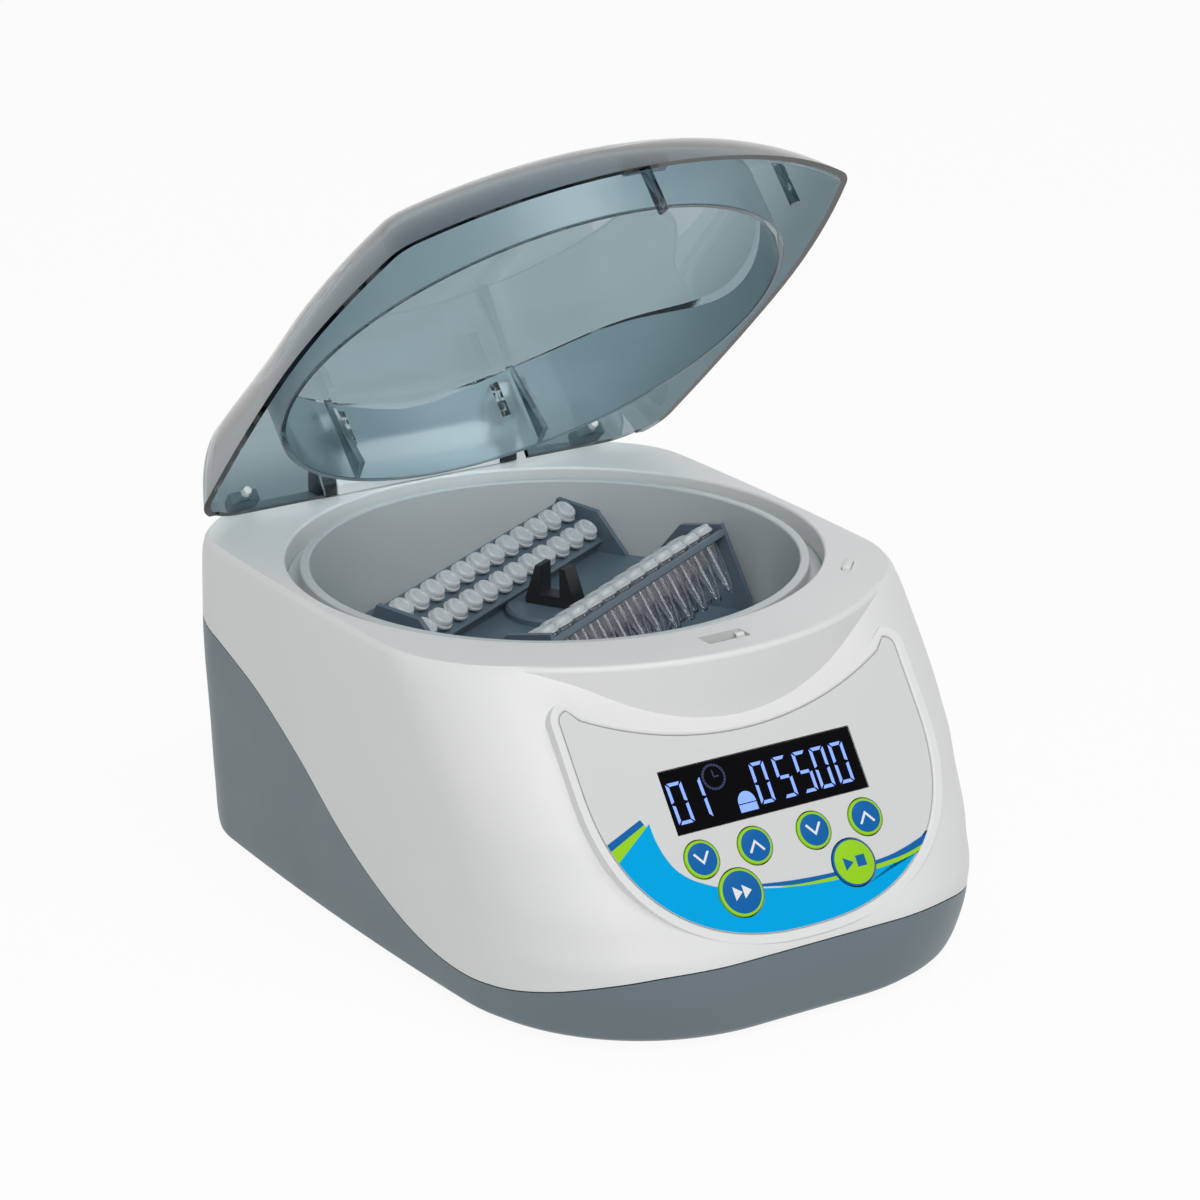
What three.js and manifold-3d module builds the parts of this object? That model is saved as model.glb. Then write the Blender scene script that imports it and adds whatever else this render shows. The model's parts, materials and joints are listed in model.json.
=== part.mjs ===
// Small bench centrifuge for strips of thin-walled sample tubes, with an open smoked lid.
// Millimetres, +Z up, front towards -Y. While the pieces are made, the bowl axis is x = y = 0
// and the bench top is z = 0. The finished group is moved along Y so that the middle of the
// whole object's box stands over the origin.

import * as THREE from 'three';
import { mergeVertices, mergeGeometries } from 'three/addons/utils/BufferGeometryUtils.js';
import Module from 'manifold-3d';

const wasm = await Module();
wasm.setup();

// Fits and overruns shared by all pieces
const seatGap = 0.3;
const runningGap = 0.6;
const cutOverrun = 4;
const roundSegments = 36;
const visorSegments = 40;
const hubSegments = 20;
const smallSegments = 8;
const shaftSegments = 12;
const keySegments = 12;
const tubeSegments = 6;
const capSegments = 7;

// Housing
const footHeight = 1.5;
const housingHeight = 98;
const housingHalfWidth = 81.4;
const housingSideBulge = 3.4;
const housingRear = 91;
const housingRearRadius = 32;
const housingWall = 2.8;
const topWall = 2.8;
const seamGap = 0.4;
const chinReach = 136.8;
const frontCornerRadius = 55;
const housingBulgeMiddle = 8;
const housingBulgeSpan = 98;
const edgeRounding = 1;
const topZ = footHeight + housingHeight;

// Bowl
const bowlInnerRadius = 72.5;
const bowlLipWidth = 3;
const bowlLipDrop = 2;
const bowlFloorRadius = 69;
const bowlDepth = 44;
const bowlWall = 2.2;
const bowlMouthRadius = 79.6;
const bowlGrooveDepth = 5;
const bowlFlangeThickness = 2.5;
const bowlCornerRound = 6;
const lipZ = topZ - bowlLipDrop;
const mouthSkirtWall = 2.4;
const mouthSkirtDepth = 12;
const mouthChamfer = 0.8;
const shelfGap = 1.8;

// Visor: the round brow of the top face that overhangs the control panel
const visorCentreReach = 7.4;
const visorRadius = 94.1;
const visorLowerRadius = 91;
const visorDepth = 22;
const visorHalfWidth = 69;
const visorEdgeRound = 1.6;

// Control panel, square to the sloping front
const panelSlope = THREE.MathUtils.degToRad(54.7);
const panelCentreReach = 109.85;
const panelCentreDrop = 36.3;
const panelHalfWidth = 56;
const panelShoulderRise = 31.5;
const panelSmileRise = 15.4;
const panelBottomDrop = 42.2;
const panelWidestRise = 10;
const panelRoundPower = 2.35;
const panelCornerRadius = 3;
const overlayThickness = 0.6;
const faceProud = 0.4;
const padProud = 0.1;
const padMargin = 3;
const padDepth = 6;
const windowLap = 2;
const displayHalfWidth = 31.8;
const displayHalfHeight = 9;
const keyGap = 0.3;
const windowThickness = 1.2;
const smallKeyRadius = 5.4;
const largeKeyRadius = 6.9;
const keyProud = 0.5;
const keyTravel = 0.6;
const keyFlangeWidth = 0.7;
const keyFlangeThickness = 0.8;
const keyStemRadius = 1.6;
const innerKeyReach = 9.85;
const outerKeyReach = 27.4;
const smallKeyDrop = 17.05;
const largeKeyReach = 18.85;
const largeKeyDrop = 28.6;

// Lid
const lidAngle = THREE.MathUtils.degToRad(43);
const hingeSetback = 2.5;
const hingeReach = bowlMouthRadius + hingeSetback;
const hingeRise = 16.3;
const lidFrontArc = 120;
const lidArcCentre = 19.4;
const lidOverhang = 4.1;
const lidHalfWidth = housingHalfWidth + lidOverhang;
const lidFrontSideArc = 250;
const lidRearSideArc = 900;
const lidRearSetback = 5.4;
const lidRear = hingeReach + lidRearSetback;
const lidRearRadius = 18;
const lidFrontRadius = 15;
const lidHeight = 27.8;
const lidCrown = 1.1;
const lidWall = 2.2;
const lidFrontPower = 7.3;
const lidSidePower = 7.15;
const lidRearPower = 13.95;
const lidApexShift = 39;
const lidRingRadius = bowlMouthRadius - runningGap;
const lidRingWall = 1.8;
const lidRestGap = 0.4;
const lidFinReach = 7.5;
const lidFinThickness = 2;
const lidRibDepth = 9;
const lidRibThickness = 1.6;

// Soft stops behind the lid, which meet the top face when it stands open, and its rear relief
const padInset = 23.5;
const padReach = lidHalfWidth - padInset;
const padSetback = 12;
const padHalfLength = 5;
const padHalfHeight = 2;
const padRise = 6.9;
const padRound = 1;
const padStemRadius = 1.4;
const padStemLength = 5;
const rearRelief = 1.4;

// Hinge
const lugCentre = 32.4;
const lugThickness = 6;
const lugEyeRadius = 4.5;
const hingePinRadius = 2;
const hingeNotchGap = 0.8;
const hingeBlockFront = bowlMouthRadius + seatGap;
const hingeBlockDepth = 8.6;
const hingeBlockHeight = 5;
const hingeBlockRound = 1.6;
const lidEarThickness = 2.6;
const lidEarRadius = 5.4;

// Rotor and its tube strips
const rotorTurn = THREE.MathUtils.degToRad(30);
const rackTilt = THREE.MathUtils.degToRad(32);
const tubePitch = 9;
const tubesPerStrip = 12;
const rowPitch = 9;
const outerRowReach = 22.5;
const outerRowDrop = 3;
const capThickness = 3.4;
const capRadius = 3.9;
const rackThickness = 2.4;
const rackRim = 5;
const rackInnerRim = 1.4;
const tubeRadius = 3;
const tubeLength = 19.5;
const stripWeb = 1.6;
const rotorRadius = 67.5;
const rotorDiscDrop = 29;
const rotorDiscThickness = 3;
const trayDrop = 17.5;
const trayThickness = 2.5;
const trayHalfWidth = 16.4;
const trayWall = 2;
const rotorEndWall = 2;
const hubRadius = 13;
const collarRadius = 15;
const collarHeight = 2.4;
const hubBossDepth = 8;

// Hub clip
const clipHeight = 12;
const clipHalfWidth = 8.3;
const clipTopHalfWidth = 4.9;
const clipHalfGap = 3.2;
const clipThickness = 6.5;
const clipFoot = 3;

// Motor and its mounting
const shaftRadius = 2.5;
const shaftSink = 11;
const motorRadius = 21;
const motorHeight = 33;
const motorBossRadius = 8;
const motorBossHeight = 4;
const motorPlateRadius = 34;
const motorPlateThickness = 2.5;
const damperRadius = 5;
const damperHeight = 6;
const damperCircle = 28;
const postRadius = 4.5;
const sealRadius = 5.5;
const sealFlange = 2.4;
const sealThickness = 1.5;

// Lid lock at the front and the lid sensor beside it
const lockSlotSetback = 10.2;
const lockSlotReach = bowlMouthRadius + lockSlotSetback;
const lockSlotHalfLength = 7;
const lockSlotHalfWidth = 3.2;
const hookLead = 0.9;
const hookReach = lockSlotReach - hookLead;
const hookThickness = 2;
const hookHalfDepth = 1.5;
const hookDrop = 8.6;
const hookWindow = 2.6;
const hookFoot = 0.9;
const boltRadius = 0.9;
const boltTravel = 4;
const boltLength = 8.6;
const boltHead = 3;
const lockWall = 1.4;
const lockDepth = 9;
const lockHalfLength = 10;
const lockBodyRadius = 4;
const lockBodyLength = 14;
const sensorSetback = 7.8;
const sensorReach = bowlMouthRadius + sensorSetback;
const sensorAngle = THREE.MathUtils.degToRad(-43.6);
const sensorHalfLength = 4;
const sensorHalfWidth = 1.5;
const sensorProud = 1.2;
const sensorTravel = 2;
const sensorFlange = 1.6;
const sensorFlangeThickness = 1.6;
const sensorBodyHeight = 8;
const pegRadius = 1.6;

// Control board, main board and rear connections
const moduleDepth = 6;
const moduleMargin = 1;
const boardThickness = 1.6;
const boardHalfWidth = 50;
const boardBottomDrop = 38;
const boardTopRise = 12;
const keySwitchHalf = 3;
const keySwitchHeight = 3.4;
const mainBoardHalfWidth = 42;
const mainBoardFront = 104;
const mainBoardBack = 46;
const mainBoardPost = 5;
const mainBoardPostRadius = 3;
const mainBoardPartShares = { sinkStart: 0.2, sinkEnd: 0.8, sinkRow: 0.55, capacitorRow: 0.65 };
const capacitorPlaceShares = [-0.7, -0.3];
const capacitorRadius = 6;
const capacitorHeight = 16;
const heatSinkHeight = 14;
const connectionHeight = 26;
const rockerPlace = -34;
const rockerHalfWidth = 5.2;
const rockerHalfHeight = 8;
const rockerSwing = THREE.MathUtils.degToRad(8);
const rockerDepth = 4.5;
const rockerPivotDepth = 3;
const bezelRim = 2.2;
const bezelLip = 1.5;
const bezelDepth = 15;
const socketPlace = -14;
const socketRadius = 5.5;
const socketRim = 1.4;
const socketBore = 3.2;
const socketBoreDepth = 9;
const socketPin = 1;
const socketDepth = 13;
const ventCount = 8;
const ventPitch = 6;
const ventHalfWidth = 1.3;
const ventLow = 20;
const ventHigh = 42;
const ventMiddle = 22;

// Floor, feet and case screws
const floorThickness = 2.6;
const footRadius = 8.5;
const footPocket = 1;
const screwRadius = 3.2;
const screwHeadHeight = 1.8;
const screwShankRadius = 1.5;
const screwLength = 16;
const screwBossRadius = 4.5;
const screwBossHeight = 22;

const wallZ = (share) => footHeight + housingHeight * share;

/* Solid helpers */

function signedVolume(geometry) {
  const p = geometry.getAttribute('position');
  const index = geometry.getIndex();
  const a = new THREE.Vector3();
  const b = new THREE.Vector3();
  const c = new THREE.Vector3();
  let sum = 0;
  for (let i = 0; i < index.count; i += 3) {
    a.fromBufferAttribute(p, index.getX(i));
    b.fromBufferAttribute(p, index.getX(i + 1));
    c.fromBufferAttribute(p, index.getX(i + 2));
    sum += a.dot(b.cross(c));
  }
  return sum;
}

// Turns a closed three.js geometry into a solid that can be cut and joined
function solid(geometry) {
  let plain = geometry.clone();
  plain.deleteAttribute('normal');
  plain.deleteAttribute('uv');
  if (!plain.getIndex()) plain = mergeVertices(plain);
  plain = mergeVertices(plain);
  const triVerts = Uint32Array.from(plain.getIndex().array);
  if (signedVolume(plain) < 0) {
    for (let i = 0; i < triVerts.length; i += 3) {
      const swap = triVerts[i + 1];
      triVerts[i + 1] = triVerts[i + 2];
      triVerts[i + 2] = swap;
    }
  }
  const vertProperties = Float32Array.from(plain.getAttribute('position').array);
  return new wasm.Manifold(new wasm.Mesh({ numProp: 3, vertProperties, triVerts }));
}

function geometryOf(body) {
  const mesh = body.getMesh();
  const geometry = new THREE.BufferGeometry();
  geometry.setAttribute('position', new THREE.BufferAttribute(Float32Array.from(mesh.vertProperties), 3));
  geometry.setIndex(new THREE.BufferAttribute(Uint32Array.from(mesh.triVerts), 1));
  return geometry;
}

const join = (bodies) => bodies.reduce((all, next) => all.add(next));
const cut = (body, tools) => tools.reduce((left, tool) => left.subtract(tool), body);

function box(x0, x1, y0, y1, z0, z1) {
  const geometry = new THREE.BoxGeometry(x1 - x0, y1 - y0, z1 - z0);
  geometry.translate((x0 + x1) / 2, (y0 + y1) / 2, (z0 + z1) / 2);
  return geometry;
}

// Upright round bar from z0 to z1, tapered when a second radius is given
function bar(radius, z0, z1, segments = smallSegments, topRadius = radius) {
  const geometry = new THREE.CylinderGeometry(topRadius, radius, z1 - z0, segments);
  geometry.rotateX(Math.PI / 2);
  geometry.translate(0, 0, (z0 + z1) / 2);
  return geometry;
}

// Round bar along X from x0 to x1 through (y, z)
function crossBar(radius, x0, x1, y, z, segments = smallSegments) {
  const geometry = new THREE.CylinderGeometry(radius, radius, x1 - x0, segments);
  geometry.rotateZ(Math.PI / 2);
  geometry.translate((x0 + x1) / 2, y, z);
  return geometry;
}

// Revolves a closed profile of [radius, z] points round the Z axis
function revolve(profile, segments = roundSegments) {
  const points = profile.map(([r, z]) => new THREE.Vector2(r, z));
  const onAxis = profile[0][0] === 0 && profile[profile.length - 1][0] === 0;
  if (!onAxis) points.push(points[0].clone());
  const geometry = new THREE.LatheGeometry(points, segments);
  geometry.rotateX(Math.PI / 2);
  return geometry;
}

// Straight prism of an XY outline between two heights
function prism(outline, z0, z1) {
  const geometry = new THREE.ExtrudeGeometry(new THREE.Shape(outline), {
    depth: z1 - z0,
    bevelEnabled: false,
  });
  geometry.translate(0, 0, z0);
  return geometry;
}

// Prism of a [y, z] outline along X
function sidePrism(outline, x0, x1) {
  const shape = new THREE.Shape(outline.map(([y, z]) => new THREE.Vector2(y, z)));
  const geometry = new THREE.ExtrudeGeometry(shape, { depth: x1 - x0, bevelEnabled: false });
  geometry.applyMatrix4(new THREE.Matrix4().makeBasis(
    new THREE.Vector3(0, 1, 0), new THREE.Vector3(0, 0, 1), new THREE.Vector3(1, 0, 0)));
  geometry.translate(x0, 0, 0);
  return geometry;
}

// Skins a stack of rings, each with the same number of points, and closes both ends
function loft(rings) {
  const count = rings[0].length;
  const positions = [];
  const index = [];
  for (const ring of rings) {
    for (const point of ring) positions.push(point.x, point.y, point.z);
  }
  for (let level = 0; level + 1 < rings.length; level += 1) {
    for (let i = 0; i < count; i += 1) {
      const next = (i + 1) % count;
      const low = level * count;
      const high = low + count;
      index.push(low + i, low + next, high + next);
      index.push(low + i, high + next, high + i);
    }
  }
  const capEnd = (ring, first, flip) => {
    const flat = ring.map((point) => new THREE.Vector2(point.x, point.y));
    for (const [a, b, c] of THREE.ShapeUtils.triangulateShape(flat, [])) {
      if (flip) index.push(first + a, first + c, first + b);
      else index.push(first + a, first + b, first + c);
    }
  };
  capEnd(rings[0], 0, true);
  capEnd(rings[rings.length - 1], (rings.length - 1) * count, false);
  const geometry = new THREE.BufferGeometry();
  geometry.setAttribute('position', new THREE.Float32BufferAttribute(positions, 3));
  geometry.setIndex(index);
  return geometry;
}

const lerp = THREE.MathUtils.lerp;

// Half an outline, from the front middle to the rear middle, mirrored into a closed ring
function mirrored(half) {
  const inner = half.slice(1, -1).reverse().map(([x, y]) => [-x, y]);
  return [...half, ...inner];
}

const atHeight = (outline, z) => outline.map(([x, y]) => new THREE.Vector3(x, y, z));
const flatPoints = (outline) => outline.map(([x, y]) => new THREE.Vector2(x, y));

function arcPoints(cx, cy, radius, from, to, steps) {
  const points = [];
  for (let i = 0; i <= steps; i += 1) {
    const angle = lerp(from, to, i / steps);
    points.push([cx + radius * Math.cos(angle), cy + radius * Math.sin(angle)]);
  }
  return points;
}

const frontSteps = 2;
const frontCornerSteps = 6;
const sideSteps = 3;
const rearCornerSteps = 4;

// Plan outline of the housing at one level: flat front, round corners, bulged sides
function housingOutline(level) {
  const { front, halfWidth, cornerRadius, rear, inset = 0 } = level;
  const reach = front - inset;
  const side = halfWidth - inset;
  const back = rear - inset;
  const corner = cornerRadius - inset;
  const rearCorner = housingRearRadius - inset;
  const half = [];
  for (let i = 0; i < frontSteps; i += 1) {
    half.push([(side - corner) * i / frontSteps, -reach]);
  }
  const frontArc = arcPoints(side - corner, corner - reach, corner, -Math.PI / 2, 0, frontCornerSteps);
  half.push(...frontArc);
  for (let i = 1; i < sideSteps; i += 1) {
    half.push([side, lerp(corner - reach, back - rearCorner, i / sideSteps)]);
  }
  const rearCentre = back - rearCorner;
  half.push(...arcPoints(side - rearCorner, rearCentre, rearCorner, 0, Math.PI / 2, rearCornerSteps));
  half.push([0, back]);
  const swollen = half.map(([x, y]) => {
    const along = (y - housingBulgeMiddle) / housingBulgeSpan;
    const swell = Math.max(0, 1 - along * along);
    return [x + housingSideBulge * swell * (x / side) ** 2, y];
  });
  return mirrored(swollen);
}

// Front reach of the sloping face at height z
const panelCentreZ = topZ - panelCentreDrop;
const slopeReach = (z) => panelCentreReach + faceProud / Math.sin(panelSlope)
  + (panelCentreZ - z) / Math.tan(panelSlope);

// The rear wall is flat and leans out towards its foot
const rearFootShare = 1.055;
const rearLeanShare = 0.06;
const rearWallY = (z) => housingRear * (rearFootShare - rearLeanShare * (z - footHeight) / housingHeight);
const rearLean = Math.atan((rearLeanShare * housingRear) / housingHeight);

// Levels of the outer skin, as shares of the housing's height, half width and corner radius.
// Levels with a front share are the chin; the others lie on the sloping face.
const skinLevelShares = [
  { height: 0, width: 0.925, corner: 1.04, edge: 1.6, front: 0.963 },
  { height: 0.02, width: 0.946, corner: 1.04, edge: 0.3, front: 0.977 },
  { height: 0.077, width: 0.955, corner: 1.02, edge: 0, front: 0.99 },
  { height: 0.16, width: 0.961, corner: 0.99, edge: 0, front: 1 },
  { height: 0.23, width: 0.967, corner: 0.97, edge: 0, front: 0.998 },
  { height: 0.272, width: 0.97, corner: 0.955, edge: 0 },
  { height: 0.38, width: 0.977, corner: 0.84, edge: 0 },
  { height: 0.49, width: 0.986, corner: 0.78, edge: 0 },
  { height: 0.6, width: 0.995, corner: 0.715, edge: 0 },
  { height: 0.72, width: 1, corner: 0.705, edge: 0 },
  { height: 0.93, width: 0.998, corner: 0.74, edge: 0 },
  { height: 0.98, width: 0.99, corner: 0.75, edge: 0.5 },
  { height: 1, width: 0.975, corner: 0.75, edge: 1.4 },
];

function skinLevel(share, inset = 0) {
  const z = wallZ(share.height);
  return {
    z,
    front: share.front ? chinReach * share.front : slopeReach(z),
    halfWidth: housingHalfWidth * share.width,
    cornerRadius: frontCornerRadius * share.corner,
    rear: rearWallY(z) - edgeRounding * share.edge,
    inset,
  };
}

// Outer form of the closed housing, without the visor over the panel
function housingBlock() {
  const levels = skinLevelShares.map((share) => skinLevel(share));
  return solid(loft(levels.map((level) => atHeight(housingOutline(level), level.z))));
}

const cavityLevelShares = [0.02, 0.16, 0.272, 0.49, 0.72, 0.93];

// Space inside the housing, one wall in from its outer form
function housingCavity() {
  const chosen = skinLevelShares.filter((share) => cavityLevelShares.includes(share.height));
  const levels = chosen.map((share) => skinLevel(share, housingWall));
  levels[0].z = footHeight + floorThickness;
  levels[levels.length - 1].z = topZ - topWall;
  const slopeInset = housingWall / Math.sin(panelSlope) - housingWall;
  for (const level of levels) level.front -= slopeInset;
  const last = levels[levels.length - 1];
  last.front = slopeReach(last.z) - slopeInset;
  return solid(loft(levels.map((level) => atHeight(housingOutline(level), level.z))));
}

// The visor and the top edge it rounds over
function visor() {
  const frustum = revolve([
    [0, topZ - visorDepth],
    [visorLowerRadius, topZ - visorDepth],
    [visorRadius, topZ - visorEdgeRound],
    [visorRadius - visorEdgeRound / 4, topZ - visorEdgeRound / 4],
    [visorRadius - visorEdgeRound, topZ],
    [0, topZ],
  ], visorSegments);
  frustum.translate(0, -visorCentreReach, 0);
  const front = box(-visorHalfWidth, visorHalfWidth, -visorRadius * 2, -visorRadius / 2,
    topZ - visorDepth - cutOverrun, topZ + cutOverrun);
  return solid(frustum).intersect(solid(front));
}

// Hollow of the visor, open to the housing's own hollow behind the panel
function visorCavity() {
  const frustum = revolve([
    [0, topZ - visorDepth],
    [visorLowerRadius - housingWall, topZ - visorDepth],
    [visorRadius - housingWall, topZ - topWall],
    [0, topZ - topWall],
  ]);
  frustum.translate(0, -visorCentreReach, 0);
  const half = visorHalfWidth - housingWall;
  const front = box(-half, half, -visorRadius * 2, -visorRadius / 2, topZ - visorDepth, topZ - topWall);
  return solid(frustum).intersect(solid(front));
}

// Seam between the white cover and the grey base, falling from the rear to the front.
// Its points are shares of the housing's rear reach and of its height.
const seamShares = [
  [1.25, 0.79], [1.1, 0.78], [0.75, 0.735], [0.5, 0.675], [0.3, 0.605], [0.08, 0.485],
  [-0.14, 0.335], [-0.35, 0.225], [-0.56, 0.145], [-0.78, 0.108], [-1, 0.118],
  [-1.2, 0.155], [-1.38, 0.205], [-1.48, 0.232], [-1.62, 0.24],
];
const seamCurve = new THREE.SplineCurve(seamShares.map(
  ([reach, height]) => new THREE.Vector2(housingRear * reach, wallZ(height))));
const seamSteps = 20;

function belowSeam(drop) {
  const line = seamCurve.getSpacedPoints(seamSteps).map((point) => [point.x, point.y - drop]);
  const rearEnd = line[0][0];
  const frontEnd = line[line.length - 1][0];
  const outline = [[rearEnd, -cutOverrun], ...line, [frontEnd, -cutOverrun]];
  const reach = housingHalfWidth + housingSideBulge + cutOverrun;
  return solid(sidePrism(outline.reverse(), -reach, reach));
}

/* Control panel frame: u to the right, v up the slope, w out of the panel */

const panelMatrix = new THREE.Matrix4().makeBasis(
  new THREE.Vector3(1, 0, 0),
  new THREE.Vector3(0, Math.cos(panelSlope), Math.sin(panelSlope)),
  new THREE.Vector3(0, -Math.sin(panelSlope), Math.cos(panelSlope)));
panelMatrix.setPosition(0, -panelCentreReach, panelCentreZ);

function onPanel(geometry) {
  geometry.applyMatrix4(panelMatrix);
  return geometry;
}

const smileRadius = (panelHalfWidth ** 2 + (panelShoulderRise - panelSmileRise) ** 2)
  / (2 * (panelShoulderRise - panelSmileRise));

// Outline of the printed panel: round below, a smile-shaped edge under the visor above
function panelOutline(grow) {
  const half = [];
  const steps = 8;
  const lowest = panelBottomDrop + panelWidestRise + grow;
  const widest = panelHalfWidth + grow;
  for (let i = 0; i <= steps; i += 1) {
    const angle = (Math.PI / 2) * (i / steps);
    const across = Math.sin(angle) ** (2 / panelRoundPower);
    const down = Math.cos(angle) ** (2 / panelRoundPower);
    half.push([widest * across, panelWidestRise - lowest * down]);
  }
  const corner = panelCornerRadius + grow;
  const shoulder = panelShoulderRise + grow;
  half.push(...arcPoints(widest - corner, shoulder - corner, corner, 0, Math.PI / 2, 4));
  const radius = smileRadius - grow;
  const centre = panelSmileRise + smileRadius;
  const reach = widest - corner * 2;
  for (let i = 0; i <= steps / 2; i += 1) {
    const across = reach * (1 - i / (steps / 2));
    half.push([across, centre - Math.sqrt(radius ** 2 - across ** 2)]);
  }
  return mirrored(half);
}

const keys = [
  { name: 'key_time_down', u: -outerKeyReach, v: -smallKeyDrop, radius: smallKeyRadius },
  { name: 'key_time_up', u: -innerKeyReach, v: -smallKeyDrop, radius: smallKeyRadius },
  { name: 'key_speed_down', u: innerKeyReach, v: -smallKeyDrop, radius: smallKeyRadius },
  { name: 'key_speed_up', u: outerKeyReach, v: -smallKeyDrop, radius: smallKeyRadius },
  { name: 'key_pulse', u: -largeKeyReach, v: -largeKeyDrop, radius: largeKeyRadius },
  { name: 'key_run', u: largeKeyReach, v: -largeKeyDrop, radius: largeKeyRadius },
];

const keyBar = (key, grow, w0, w1) => {
  const geometry = bar(key.radius + grow, w0, w1, keySegments);
  geometry.translate(key.u, key.v, 0);
  return geometry;
};

const windowBox = (grow, w0, w1) => box(
  -displayHalfWidth - grow, displayHalfWidth + grow,
  -displayHalfHeight - grow, displayHalfHeight + grow, w0, w1);

/* Openings in the top face */

const placeAtSensor = (geometry) => {
  geometry.rotateZ(sensorAngle + Math.PI / 2);
  geometry.translate(sensorReach * Math.cos(sensorAngle), sensorReach * Math.sin(sensorAngle), 0);
  return geometry;
};

const skirtOuter = bowlMouthRadius + mouthSkirtWall;
const shelfInner = bowlInnerRadius + bowlWall + shelfGap;
const flangeTop = lipZ - bowlGrooveDepth;
const flangeBottom = flangeTop - bowlFlangeThickness;

const block = housingBlock();
const cavity = housingCavity();
const lowerHalf = belowSeam(0);
const lowerHalfCleared = belowSeam(seamGap);

function upperHousing() {
  const pad = solid(onPanel(prism(flatPoints(panelOutline(padMargin)), -padDepth, faceProud + padProud)));
  const outer = join([block, visor(), pad]);
  let shell = outer.subtract(cavity).subtract(visorCavity());
  const skirt = revolve([
    [shelfInner, topZ - mouthSkirtDepth],
    [skirtOuter, topZ - mouthSkirtDepth],
    [skirtOuter, topZ - topWall / 2],
    [shelfInner, topZ - topWall / 2],
  ]);
  const mouth = revolve([
    [0, flangeBottom - seatGap],
    [bowlMouthRadius, flangeBottom - seatGap],
    [bowlMouthRadius, topZ - mouthChamfer],
    [bowlMouthRadius + mouthChamfer, topZ],
    [bowlMouthRadius + mouthChamfer, topZ + cutOverrun],
    [0, topZ + cutOverrun],
  ]);
  shell = shell.add(solid(skirt)).subtract(solid(mouth));
  shell = shell.subtract(solid(bar(shelfInner, topZ - mouthSkirtDepth - cutOverrun, topZ, roundSegments)));
  const recess = solid(onPanel(prism(flatPoints(panelOutline(seatGap)), -overlayThickness, cutOverrun)));
  const displayHole = solid(onPanel(windowBox(-windowLap, -padDepth - cutOverrun, cutOverrun)));
  const windowPocket = solid(onPanel(windowBox(seatGap, -windowThickness - seatGap, cutOverrun)));
  const keyHoles = keys.map((key) => solid(onPanel(keyBar(key, keyGap, -padDepth - cutOverrun, cutOverrun))));
  const lockSlot = solid(box(-lockSlotHalfLength, lockSlotHalfLength,
    -lockSlotReach - lockSlotHalfWidth, -lockSlotReach + lockSlotHalfWidth,
    topZ - topWall - cutOverrun, topZ + cutOverrun));
  const sensorSlot = solid(placeAtSensor(box(-sensorHalfLength, sensorHalfLength,
    -sensorHalfWidth, sensorHalfWidth, topZ - topWall - cutOverrun, topZ + cutOverrun)));
  shell = cut(shell, [recess, displayHole, windowPocket, ...keyHoles, lockSlot, sensorSlot]);
  return shell.subtract(lowerHalf);
}

/* Lower housing with its floor, posts, vents and rear openings */

const motorPlateGap = 2;
const motorPlateTop = lipZ - bowlDepth - bowlWall - motorPlateGap;
const motorPlateBottom = motorPlateTop - motorPlateThickness;
const postTop = motorPlateBottom - damperHeight - seatGap * 2;
const floorTop = footHeight + floorThickness;
const damperAngles = [Math.PI / 2, Math.PI * 7 / 6, Math.PI * 11 / 6];

// Feet and screws stand at shares of the housing's half width and rear reach
const footPlaceShares = [[-0.64, -1.02], [0.64, -1.02], [-0.66, 0.68], [0.66, 0.68]];
const screwPlaceShares = [[-0.47, -1.2], [0.47, -1.2], [-0.78, 0.33], [0.78, 0.33]];
const placeOnFloor = ([across, along]) => [housingHalfWidth * across, housingRear * along];
const mainBoardPosts = [-1, 1].flatMap((side) => [mainBoardFront, mainBoardBack].map((reach, i) => [
  side * (mainBoardHalfWidth - mainBoardPostRadius),
  -reach + (i === 0 ? mainBoardPostRadius : -mainBoardPostRadius),
]));

function barAt(x, y, radius, z0, z1, segments = smallSegments) {
  const geometry = bar(radius, z0, z1, segments);
  geometry.translate(x, y, 0);
  return solid(geometry);
}

// Rear wall frame: x across, y out of the leaning wall, z up along it
function onRear(geometry, x) {
  geometry.rotateX(rearLean);
  geometry.translate(x, rearWallY(connectionHeight), connectionHeight);
  return geometry;
}

// Round bar along the rear wall's normal from depth y0 to y1
function rearBar(radius, y0, y1, segments = smallSegments) {
  const geometry = new THREE.CylinderGeometry(radius, radius, y1 - y0, segments);
  geometry.translate(0, (y0 + y1) / 2, 0);
  return geometry;
}

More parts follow.
